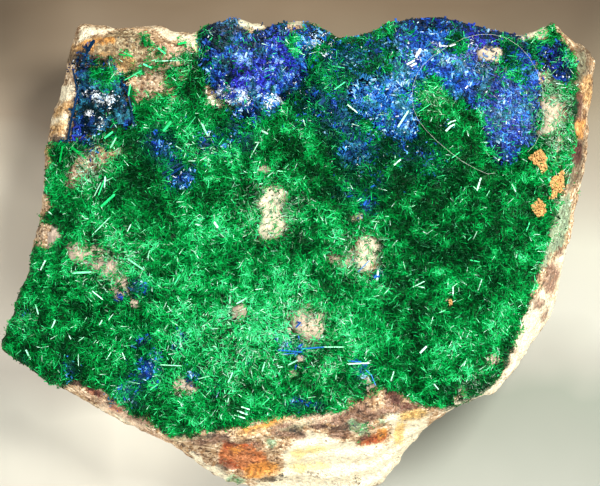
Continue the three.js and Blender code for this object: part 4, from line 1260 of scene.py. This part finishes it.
# The needles of the felt
needles = {
    "finish": (0.28, 0.3, (0.15, 1.0, 0.45)),
    "bluish": (0.003, 0.06, 0.12),  # of needles among azurite specks
    "mint": (0.38, 0.58, 0.42),  # of needles bleached where the felt is thin
    "mintZones": [
        (556, 108, 18, 1.0), (548, 82, 10, 0.7), (558, 140, 14, 0.5), (112, 262, 26, 0.3),
        (88, 166, 18, 0.7), (560, 68, 12, 0.3), (240, 345, 40, 0.12), (320, 372, 24, 0.12),
        (205, 150, 12, 0.2), (180, 60, 14, 0.3), (26, 318, 12, 0.12), (232, 312, 8, 0.5),
        (560, 190, 14, 0.3), (475, 385, 14, 0.2), (272, 210, 24, 0.5), (360, 256, 22, 0.4),
        (308, 326, 24, 0.4), (435, 100, 16, 0.2),
    ],
    "tilt": (12, 22),  # mean lean up from the surface and its spread, in degrees
    "herd": (2.0 * mm, 81, 2),  # patches that roughly agree on a direction: size, seed, octaves
    "tones": [  # from the deepest needles to the palest
        (0.0, (0.0004, 0.02, 0.004)), (0.25, (0.0006, 0.115, 0.016)), (0.5, (0.001, 0.32, 0.05)),
        (0.75, (0.004, 0.58, 0.12)), (0.9, (0.07, 0.82, 0.31)), (1.0, (0.58, 0.98, 0.76)),
    ],
    "tone": 0.34,
    "tuftLightAndHollowShade": 0.42,  # painted light and shade: needles on the tufts lighter, those in the hollows darker
    "mottling": [(0.5 * mm, 0.38, 31, 2), (3.5 * mm, 0.2, 37, 2)],  # size, strength, seed, octaves
    "fineMottling": [(0.25 * mm, 0.26, 38, 1)],
    "blotches": [(1.5 * mm, 1.0, 39, 2)],
    "blotchStrength": 0.24,  # at the right, from nothing in the middle
    "blotchSpan": (0, 10 * mm),
    "ownTone": 0.12,  # spread of each needle's own tone
    "paleStretch": (-0.5, 2.5),  # how far the pale zones lighten a needle
    "toneRange": (0.02, 0.9),
    # Painted highlight: how much lighter a sparkling needle is painted
    "sparkleLift": (0.2, 0.5),
    "sprayShare": 0.4,
    "sprayCount": 6,
    "sprayWidth": 0.14 * mm,
    "sprayFan": 0.7,  # radians
    "herdShare": 0.5,
    "herdFan": 0.6,
    "steepest": 75,
    "lift": (-0.05 * mm, 0.3 * mm),
    "rooted": 0.15,  # the share of each needle's length below its place
    "bluishShare": (0.6, 0.64),  # of needles among azurite: how many, and how blue
    "bluishInCrusts": 0.6,
    "mintShare": 1.2,
    "mintTint": (0.5, 1.5),
    "bleached": (0.2, 0.9),
    "point": 0.12,  # the share of a prism that is its point
    "thinned": {"azurite": 0.94, "windows": 0.86, "thinZones": 0.78, "specks": 0.8},  # at most
    "kinds": {  # how many, lengths and widths in millimetres, extra tone, and the share that sparkles, which are painted highlights
        "undergrowth": (44000, (0.3, 0.65), (0.11, 0.16), 0.0, 0.01),
        "felted": (47000, (0.3, 0.8), (0.08, 0.12), 0.05, 0.03),
        "upper": (18500, (0.3, 1.0), (0.045, 0.08), 0.1, 0.1),
        "glints": (4600, (0.35, 1.1), (0.05, 0.09), 0.2, 0.35),
    },
    "footToPointShading": {  # painted shade and highlight: how light a crystal is painted from its darker foot to its lighter point
        "prism": [0.5] * 3 + [1.0] * 3 + [1.1],
        "spike": [0.55] * 3 + [1.25],
    },
    "strays": [
        (145, 38, 5, 0.6), (150, 46, 4, 0.6), (160, 52, 5, 0.6), (182, 43, 6, 0.3), (122, 55, 6, 0.35),
        (124, 74, 5, 0.6), (136, 71, 6, 0.6), (160, 66, 8, 0.5), (102, 72, 10, 1.2), (110, 80, 9, 0.8),
        (140, 108, 8, 0.6), (150, 62, 7, 0.3), (188, 54, 7, 0.35), (158, 98, 9, 0.5), (132, 92, 4, 0.8),
        (112, 120, 5, 0.4), (362, 430, 10, 0.1), (236, 482, 5, 0.15), (170, 80, 6, 0.6),
        (560, 225, 12, 0.1), (120, 270, 24, 0.1), (50, 150, 6, 0.5), (545, 190, 20, 0.3),
        (565, 55, 10, 0.3),
    ],
    "lightZones": [
        (215, 280, 50, 0.08), (290, 300, 40, 0.1), (330, 225, 30, 0.1), (180, 345, 50, 0.02),
        (260, 345, 50, 0.05), (360, 385, 35, 0.02), (450, 380, 40, 0.02), (525, 185, 20, 0.06),
        (205, 230, 30, 0.04), (425, 95, 24, 0.1), (365, 50, 25, 0.04), (250, 215, 20, 0.1),
        (290, 225, 16, 0.14), (340, 275, 26, 0.1), (160, 110, 30, 0.02), (110, 225, 20, 0.06),
        (240, 160, 24, 0.08), (270, 330, 20, 0.08), (155, 300, 26, 0.04), (60, 245, 20, 0.06),
        (100, 260, 20, 0.08), (330, 240, 16, 0.1), (470, 340, 20, 0.06), (495, 350, 20, 0.08),
        (104, 76, 13, 0.25),
    ],
    # Darker needles: painted shade in the felt's deep hollows, and patches of darker felt
    "shadeZones": [
        (165, 205, 18, 0.22), (75, 285, 26, 0.14), (75, 335, 34, 0.14), (350, 175, 40, 0.14),
        (415, 150, 36, 0.2), (385, 165, 42, 0.12), (300, 248, 14, 0.24), (465, 258, 24, 0.22),
        (440, 195, 26, 0.12), (470, 306, 18, 0.1), (370, 332, 12, 0.14), (410, 362, 12, 0.2),
        (240, 262, 14, 0.12), (322, 90, 38, 0.2), (325, 190, 24, 0.1), (145, 152, 30, 0.14),
        (50, 220, 14, 0.22), (40, 325, 25, 0.1), (500, 290, 16, 0.04), (205, 435, 20, 0.1),
        (250, 130, 20, 0.12), (375, 45, 24, 0.18), (340, 60, 20, 0.16), (95, 130, 18, 0.1),
        (75, 375, 14, 0.12), (430, 260, 36, 0.16), (500, 200, 30, 0.12), (505, 225, 24, 0.16),
        (535, 185, 14, 0.2), (140, 335, 20, 0.12), (385, 215, 30, 0.14), (160, 160, 20, 0.1),
        (455, 160, 20, 0.15), (130, 190, 26, 0.14), (95, 210, 14, 0.12), (400, 290, 30, 0.1),
        (440, 300, 30, 0.14), (395, 350, 30, 0.08), (140, 360, 14, 0.1), (200, 400, 30, 0.06),
        (250, 290, 14, 0.08), (395, 390, 20, 0.1), (500, 250, 22, 0.12), (480, 280, 20, 0.12),
        (467, 258, 9, 0.25), (438, 310, 9, 0.14), (477, 306, 8, 0.14), (425, 205, 12, 0.1),
        (404, 195, 12, 0.12), (48, 222, 8, 0.2), (58, 165, 12, 0.2), (66, 196, 10, 0.14), (100, 62, 9, 0.3),
        (24, 322, 14, 0.24), (380, 180, 40, 0.05), (562, 150, 18, 0.12), (467, 257, 14, 0.3),
        (300, 248, 11, 0.16), (230, 365, 34, 0.07),
    ],
    "paleZones": [
        (180, 345, 40, 0.18), (250, 345, 50, 0.18), (95, 260, 34, 0.12), (320, 370, 30, 0.1),
        (365, 245, 14, 0.1), (525, 185, 30, 0.12), (570, 140, 20, 0.12), (285, 305, 35, 0.06),
        (550, 110, 20, 0.15), (210, 150, 20, 0.1), (480, 340, 40, 0.04), (480, 160, 30, 0.04),
        (200, 395, 40, 0.14), (110, 140, 14, 0.1), (186, 140, 8, 0.3), (320, 215, 10, 0.2),
        (290, 225, 10, 0.12), (232, 312, 8, 0.25), (558, 160, 14, 0.2), (470, 345, 16, 0.1),
        (400, 380, 12, 0.1), (30, 290, 12, 0.16), (28, 314, 10, 0.25), (22, 335, 8, 0.25),
    ],
    "blades": [  # single crystals: both ends, width in pixels, tone
        (163, 131, 171, 121, 3, 0.8), (104, 138, 113, 131, 3, 0.85), (110, 148, 116, 137, 2, 0.95),
        (101, 207, 115, 194, 3, 0.78), (94, 196, 101, 182, 2, 0.97), (104, 188, 105, 176, 2, 0.97),
        (92, 235, 111, 216, 1.2, 0.95), (127, 232, 131, 224, 1.5, 1.0), (202, 124, 208, 136, 2, 0.95),
        (187, 128, 196, 116, 1.2, 0.9), (250, 158, 259, 142, 1.2, 1.0), (62, 146, 59, 163, 2.4, 0.5),
        (71, 147, 86, 159, 2.6, 0.5), (214, 222, 218, 228, 2.5, 1.0), (347, 104, 358, 113, 1.6, 1.0),
        (398, 127, 409, 110, 2, 0.97), (394, 165, 401, 159, 2, 1.0), (481, 178, 477, 191, 2.5, 1.0),
        (417, 113, 432, 103, 1.2, 0.9), (452, 158, 460, 152, 1.2, 0.9), (40, 270, 45, 260, 1.5, 1.0),
        (92, 291, 103, 300, 1.5, 1.0), (51, 329, 55, 320, 1.5, 0.97), (99, 325, 102, 320, 2, 1.0),
        (78, 366, 78, 354, 1.2, 1.0), (122, 353, 125, 360, 1.4, 1.0), (106, 360, 111, 352, 1.4, 0.97),
        (128, 259, 144, 270, 1.5, 0.93), (72, 273, 92, 272, 2, 0.93), (147, 258, 150, 250, 1.2, 0.95),
        (478, 290, 482, 279, 2.2, 1.0), (453, 296, 453, 286, 1.5, 1.0), (420, 353, 427, 346, 2, 1.0),
        (391, 381, 394, 371, 1.5, 1.0), (413, 287, 425, 281, 1.4, 0.97), (377, 281, 378, 270, 2, 1.0),
        (347, 364, 371, 363, 1.5, 1.0), (320, 347, 345, 347, 1.4, 0.95), (434, 384, 439, 390, 1.5, 1.0),
        (234, 415, 246, 419, 1.6, 1.0), (237, 411, 248, 415, 1.6, 1.0), (241, 407, 250, 410, 1.6, 1.0),
        (155, 61, 193, 60, 1.0, 0.96), (262, 131, 268, 134, 3, 1.0), (228, 383, 233, 372, 1.5, 0.95),
        (160, 365, 182, 366, 1.2, 0.95), (198, 379, 210, 376, 1.2, 0.95), (124, 52, 132, 56, 2, 0.8),
        # The two dark blades from (131, 86) and (131, 96) are painted shade: dark crystals set along a
        # chip's shadow
        (158, 48, 166, 54, 2.5, 0.85), (131, 86, 130, 97, 3, 0.12), (131, 96, 138, 107, 3, 0.15),
        (143, 36, 146, 47, 3, 0.3), (148, 35, 150, 46, 2.5, 0.25), (119, 54, 134, 57, 2, 0.5),
        (178, 44, 187, 42, 2, 0.7), (124, 80, 142, 70, 1.4, 0.85), (130, 84, 128, 96, 1.5, 0.88),
        (446, 131, 451, 126, 2.2, 1.0), (449, 127, 455, 124, 2.2, 1.0), (451, 122, 456, 120, 1.8, 1.0),
        (448, 124, 452, 121, 2, 0.97), (555, 188, 548, 178, 2, 0.9), (143, 64, 152, 68, 2, 0.9),
        (104, 180, 98, 196, 2, 0.8), (345, 82, 334, 90, 1.4, 0.9), (333, 66, 345, 68, 1.4, 0.9),
        (512, 184, 516, 192, 2, 1.0), (526, 232, 530, 222, 1.4, 0.9), (470, 260, 480, 262, 1.2, 0.85),
        (247, 298, 236, 304, 1.4, 0.95), (180, 275, 174, 285, 1.2, 0.9), (265, 362, 262, 372, 1.4, 0.95),
        (288, 365, 298, 360, 1.4, 0.95), (205, 325, 214, 330, 1.2, 0.9), (262, 405, 270, 398, 1.4, 0.9),
        (150, 390, 158, 384, 1.4, 0.9), (35, 305, 38, 315, 1.6, 0.95), (25, 350, 30, 360, 1.6, 0.95),
        (130, 382, 140, 384, 1.2, 0.95),
    ],
}


needleMaterial = crystalMaterial("brochantiteNeedle", *needles["finish"])


# Slender three-sided crystals that taper to a point
def spikeMesh(feet, axes, lengths, widths, random):
    first, second = acrossAxes(axes, random.uniform(0, 2 * math.pi, len(feet)))
    corners = []
    for k in range(3):
        angle = 2 * math.pi * k / 3
        corners.append(feet + (first * math.cos(angle) + second * math.sin(angle)) * (widths / 2)[:, None])
    corners.append(feet + axes * lengths[:, None])
    sides = [(0, 1, 3), (1, 2, 3), (2, 0, 3), (0, 2, 1)]
    return np.stack(corners, 1), repeatedFaces(sides, len(feet), 4)


# How light each needle is, from where it is and by chance
def needleTone(places, light, sparkling, random):
    count = len(places)
    tone = needles["tone"] + light + zoneSum(needles["lightZones"], places)
    tone -= zoneSum(needles["shadeZones"], places)
    # Painted light and shade: needles lighter on the tufts of the felt's ground, darker in its hollows
    tufts = noise(places, felt["tufts"][0], felt["seed"], 2)
    tone += needles["tuftLightAndHollowShade"] * tufts + noiseSum(needles["mottling"], places)
    tone += noiseSum(needles["fineMottling"], places)
    rightward = smoothstep(*needles["blotchSpan"], places[:, 0])
    tone += needles["blotchStrength"] * rightward * noiseSum(needles["blotches"], places)
    ownTone = random.normal(0, needles["ownTone"], count)
    tone += ownTone + zoneSum(needles["paleZones"], places) * random.uniform(*needles["paleStretch"], count)
    tone = np.clip(tone, *needles["toneRange"])
    # Painted highlight: some needles painted lighter, so that they seem to sparkle
    sparkle = random.random(count) < sparkling * (0.4 + tone)
    return np.where(sparkle, np.clip(tone + random.uniform(*needles["sparkleLift"], count), 0, 1), tone)


# Needles that have strayed off the felt
def strayShare(places):
    return zoneSum(needles["strays"], places)


def needleChance(places):
    thinned = needles["thinned"]
    share = feltShare(places) * (1 - thinned["azurite"] * azuriteShare(places))
    share *= 1 - thinned["windows"] * windowShare(places) ** 1.5
    share *= 1 - np.clip(zoneSum(thinZones, places), 0, thinned["thinZones"])
    share *= 1 - thinned["specks"] * np.clip(zoneSum(specks, places), 0, 1)
    return np.clip(share + strayShare(places), 0, 1)


# Needles that would reach past the crust's edge are turned inward, or cut short
def keptInside(places, reach, lengths):
    def outside(ends):
        beyond = (feltShare(ends) < 0.5) & (strayShare(ends) < 0.08)
        return beyond | ~standing.holds(ends)

    turn = outside(places + reach * lengths[:, None])
    reach[turn] *= -1
    still = outside(places + reach * lengths[:, None])
    lengths[still] *= 0.4
    return reach, lengths


def makeNeedles(kindName, seed):
    count, lengthRange, widthRange, light, sparkling = needles["kinds"][kindName]
    random = np.random.default_rng(seed)
    places = scattered(count, needleChance, random)
    sprayCount = needles["sprayCount"]
    sprays = int(count * needles["sprayShare"]) // sprayCount
    members = sprays * sprayCount
    herd = math.pi * noise(places, *needles["herd"])
    inHerd = random.random(count) < needles["herdShare"]
    herd += random.normal(0, needles["herdFan"], count)
    azimuth = np.where(inHerd, herd, random.uniform(-4, 4, count))
    azimuth += math.pi * (random.random(count) < 0.5)
    places[:members] = np.repeat(places[:sprays], sprayCount, axis=0)
    places[:members] += random.normal(0, needles["sprayWidth"], (members, 2))
    fanned = random.normal(0, needles["sprayFan"], members)
    azimuth[:members] = np.repeat(azimuth[:sprays], sprayCount) + fanned
    tilt = np.abs(random.normal(*needles["tilt"], count))
    tilt = np.radians(np.clip(tilt, 0, needles["steepest"]))
    lengths = random.uniform(*lengthRange, count) * mm
    widths = random.uniform(*widthRange, count) * mm
    reach = np.stack([np.cos(azimuth), np.sin(azimuth)], 1) * np.cos(tilt)[:, None]
    reach, lengths = keptInside(places, reach, lengths)
    axes = np.column_stack([reach, np.sin(tilt)])
    middles = np.column_stack([places, standingHeight(places)])
    middles[:, 2] += random.uniform(*needles["lift"], count) + 0.1 * lengths * np.sin(tilt)
    feet = middles - axes * (lengths * needles["rooted"])[:, None]
    if kindName in ("upper", "glints"):
        shape = "prism"
        vertices, faces = prismMesh(feet, axes, lengths, widths, 3, needles["point"], random)
    else:
        shape = "spike"
        vertices, faces = spikeMesh(feet, axes, lengths, widths, random)
    colours = toned(needles["tones"], needleTone(places, light, sparkling, random))
    bluishShare, blueness = needles["bluishShare"]
    nearAzurite = zoneSum(specks, places) + needles["bluishInCrusts"] * azuriteShare(places)
    bluish = np.clip(nearAzurite, 0, 1) * (random.random(count) < bluishShare)
    colours = blended(colours, needles["bluish"], blueness * bluish)
    mint = np.array(needles["mint"]) * random.uniform(*needles["mintTint"], (count, 1))
    isBleached = random.random(count) < needles["mintShare"] * zoneSum(needles["mintZones"], places)
    colours = blended(colours, mint, isBleached * random.uniform(*needles["bleached"], count))
    # Painted shade and highlight: each crystal darker at its foot and lighter at its point
    colours = colours[:, None, :] * np.array(needles["footToPointShading"][shape])[None, :, None]
    values = {"colour": colours.reshape(-1, 3)}
    piece = meshPiece("needles_" + kindName, vertices, faces, needleMaterial, values)
    dress(piece, "brochantite_felt")
    report("needles " + kindName, piece)


for seed, kindName in enumerate(needles["kinds"]):
    makeNeedles(kindName, 91 + seed)


# The larger single crystals that lie on the felt and in the azurite
blade = {"footLift": 0.3 * mm, "tipLift": 0.5 * mm, "sides": 4, "point": 0.1, "seed": 101}


def makeBlades(name, settings, material, node):
    random = np.random.default_rng(blade["seed"])
    blades = np.array(settings["blades"], float)
    starts = atPixels(blades[:, 0:2])
    ends = atPixels(blades[:, 2:4])
    feet = np.column_stack([starts, standingHeight(starts) + blade["footLift"]])
    tips = np.column_stack([ends, standingHeight(ends) + blade["tipLift"]])
    lengths = np.linalg.norm(tips - feet, axis=1)
    axes = (tips - feet) / lengths[:, None]
    widths = blades[:, 4] * photo["pixel"]
    sides = blade["sides"]
    vertices, faces = prismMesh(feet, axes, lengths, widths, sides, blade["point"], random)
    colours = np.repeat(toned(settings["tones"], blades[:, 5]), 2 * sides + 1, axis=0)
    piece = meshPiece(name, vertices, faces, material, {"colour": colours})
    dress(piece, node)
    report(name, piece)


makeBlades("green_blades", needles, needleMaterial, "brochantite_felt")
makeBlades("blue_blades", azurite, azuriteMaterial, "azurite_crust_corner")


# Spots of limonite on the felt
limonite = {
    "grain": (0.1 * mm, 0.24 * mm),
    "count": 1100,
    "seed": 111,
    "lift": (0.1 * mm, 0.55 * mm),
    "shades": (1.0, 0.14),  # mean and spread
    "colour": (0.59, 0.32, 0.115),
    "outlines": [
        [(530, 156), (536, 152), (541, 150), (547, 157), (546, 163), (548, 168), (544, 171), (538, 165),
         (531, 160)],
        [(564, 169), (565, 180), (563, 190), (558, 194), (556, 198), (550, 199), (553, 190), (549, 184),
         (553, 179)],
        [(540, 200), (546, 205), (545, 213), (538, 217), (532, 211), (533, 203)],
        [(448, 300), (451, 300), (452, 304), (449, 305)],
        [(539, 170), (544, 171), (543, 175)],
    ],
}


def limoniteChance(places):
    return greatestShare(limonite["outlines"], places, *edges["limonite"]) ** 2


def makeLimonite():
    random = np.random.default_rng(limonite["seed"])
    count = limonite["count"]
    places = scattered(count, limoniteChance, random)
    sizes = random.uniform(*limonite["grain"], count)
    heights = standingHeight(places) + random.uniform(*limonite["lift"], count)
    vertices, faces = grainMesh(np.column_stack([places, heights]), sizes, random)
    shade = random.normal(*limonite["shades"], count)[:, None] * np.array(limonite["colour"])
    values = {"colour": np.repeat(shade, 8, axis=0)}
    piece = meshPiece("limonite_spots", vertices, faces, needleMaterial, values)
    dress(piece, "brochantite_felt")
    report("limonite spots", piece)


makeLimonite()


# A loose fibre that has settled on the specimen
fibre = {
    "radius": 0.011 * mm,
    "lift": 0.6 * mm,
    "colour": (0.52, 0.56, 0.49),
    "line": [
        (528, 152), (535, 145), (541, 132), (544, 118), (545, 104), (543, 88), (538, 72), (530, 57),
        (520, 46), (508, 38), (494, 34), (480, 34), (464, 38), (448, 46), (434, 55), (424, 64), (417, 74),
        (413, 86), (412, 98), (414, 110), (419, 121), (427, 131), (438, 142), (450, 152), (462, 161),
        (476, 169), (488, 174), (502, 172),
    ],
}


def makeFibre():
    line = atPixels(fibre["line"])
    halved = [line[:-1] + (line[1:] - line[:-1]) * share for share in (0, 0.5)]
    fine = np.concatenate(halved, axis=1).reshape(-1, 2)
    path = np.column_stack([fine, standingHeight(fine) + fibre["lift"]])
    for step in range(3):
        path[1:-1, 2] = (path[:-2, 2] + path[1:-1, 2] + path[2:, 2]) / 3
    along = np.gradient(path, axis=0)
    along /= np.linalg.norm(along, axis=1, keepdims=True)
    first, second = acrossAxes(along, np.zeros(len(path)))
    ring = [path + fibre["radius"] * side for side in (first, second, -first, -second)]
    vertices = np.stack(ring, 1).reshape(-1, 3)
    faces = [(0, 1, 2, 3), tuple(len(vertices) - 1 - k for k in range(4))]
    for i in range(len(path) - 1):
        for k in range(4):
            after = (k + 1) % 4
            faces.append((4 * i + k, 4 * i + 4 + k, 4 * i + 4 + after, 4 * i + after))
    colours = np.tile(np.array(fibre["colour"]), (len(vertices), 1))
    piece = meshPiece("fibre", vertices, faces, needleMaterial, {"colour": colours})
    dress(piece, "azurite_crust_right")
    report("fibre", piece)


makeFibre()


# The camera looks straight down on the specimen's front
def makeCamera():
    camera = bpy.data.objects.new("camera", bpy.data.cameras.new("camera"))
    bpy.context.scene.collection.objects.link(camera)
    camera.data.lens = photo["lens"]
    camera.data.sensor_width = photo["sensor"]
    width = photo["width"] * photo["pixel"]
    away = width * photo["lens"] / photo["sensor"]
    camera.location = (*photo["middle"], photo["front"] + away)
    camera.data.clip_start, camera.data.clip_end = photo["seen"]
    bpy.context.scene.camera = camera


makeCamera()


# The floor's blurred tones, the sky and the lights; these lengths are metres. The floor's tones are partly
# the backdrop's own and partly painted light and shade: lighter where the specimen's shadow falls, darker
# towards the upper corners
studio = {
    "floorSize": 4,
    "floorFinish": (0.9, 0.2),
    "upward": (-0.0235, 0.026),  # where the colours begin and end
    "sideways": (-0.014, 0.014),  # where the left colours pass into the right ones
    "across": (-0.03, 0.03),
    "clouds": (0.012, 0.008),  # size, and how far they bend the colours
    "floorLeft": [  # colours from the lower to the upper edge, with a painted light band low down that lifts the specimen's shadow
        (0.0, (0.48, 0.46, 0.39)), (0.14, (0.68, 0.66, 0.56)), (0.23, (0.5, 0.47, 0.4)),
        (0.6, (0.57, 0.52, 0.42)), (0.75, (0.27, 0.22, 0.16)), (0.88, (0.16, 0.125, 0.085)),
        (1.0, (0.11, 0.08, 0.05)),
    ],
    "floorRight": [
        (0.0, (0.27, 0.28, 0.24)), (0.2, (0.21, 0.23, 0.19)), (0.27, (0.29, 0.29, 0.25)),
        (0.36, (0.38, 0.38, 0.33)), (0.48, (0.38, 0.38, 0.32)), (0.6, (0.28, 0.26, 0.21)),
        (0.8, (0.19, 0.16, 0.11)), (1.0, (0.11, 0.08, 0.05)),
    ],
    "paintedLightAndShade": [  # painted light and shade: from where to where it sets in upward, and how much lighter or darker from left to right
        (0.75, 1.0, [(0.0, 0.6), (0.12, 1.0), (0.5, 1.25), (0.8, 1.0), (1.0, 0.6)]),
        (0.3, 0.1, [(0.0, 0.72), (0.08, 0.88), (0.19, 1.3), (0.35, 1.1), (0.8, 0.92), (1.0, 0.86)]),
    ],
    "sky": (1.0, 0.98, 0.95),
    "skyStrength": 0.34,
    "lights": {
        "key": {"from": (0.45, 0.4, 0.8), "size": 0.2, "watts": 6.2, "colour": (1.0, 0.98, 0.94)},
        "low": {"from": (0.5, -0.8, 0.5), "size": 0.3, "watts": 3.2, "colour": (1.0, 0.98, 0.95)},
        "fill": {"from": (-0.8, -0.1, 0.6), "size": 0.4, "watts": 2.6, "colour": (0.96, 0.98, 1.0)},
    },
    "distance": 0.55,
}


def makeStudio():
    bpy.ops.mesh.primitive_plane_add(size=studio["floorSize"])
    floor = bpy.context.object
    floor.name = "floor"
    material, tree, shader = newMaterial("paleFloor", *studio["floorFinish"])
    place = objectPlace(tree)
    split = addNode(tree, "ShaderNodeSeparateXYZ", {"Vector": place})
    cloudSize, bend = studio["clouds"]
    cloud = product(tree, calculated(tree, "SUBTRACT", noiseTexture(tree, place, cloudSize, 2), 0.5), bend)
    upward = shareOf(tree, calculated(tree, "ADD", split.outputs["Y"], cloud), *studio["upward"])
    side = spreadOf(tree, split.outputs["X"], *studio["sideways"])
    left, right = (ramp(tree, upward, studio[part]) for part in ("floorLeft", "floorRight"))
    colour = mixed(tree, side, left, right)
    across = shareOf(tree, split.outputs["X"], *studio["across"])
    for start, end, levels in studio["paintedLightAndShade"]:
        lit = mixed(tree, 1.0, colour, ramp(tree, across, greys(levels)), "MULTIPLY")
        colour = mixed(tree, spreadOf(tree, upward, start, end), colour, lit)
    tree.links.new(colour, shader.inputs["Base Color"])
    floor.data.materials.append(material)
    world = bpy.data.worlds.new("studio")
    bpy.context.scene.world = world
    world.use_nodes = True
    background = world.node_tree.nodes["Background"]
    background.inputs["Color"].default_value = (*studio["sky"], 1)
    background.inputs["Strength"].default_value = studio["skyStrength"]
    for name, light in studio["lights"].items():
        lamp = bpy.data.lights.new(name, "AREA")
        lamp.size = light["size"]
        lamp.energy = light["watts"]
        lamp.color = light["colour"]
        holder = bpy.data.objects.new(name, lamp)
        bpy.context.scene.collection.objects.link(holder)
        way = Vector(light["from"]).normalized()
        holder.location = way * studio["distance"]
        holder.rotation_euler = way.to_track_quat("Z", "Y").to_euler()
    bpy.context.scene.view_settings.view_transform = "Standard"


makeStudio()
print("camera and lights made")
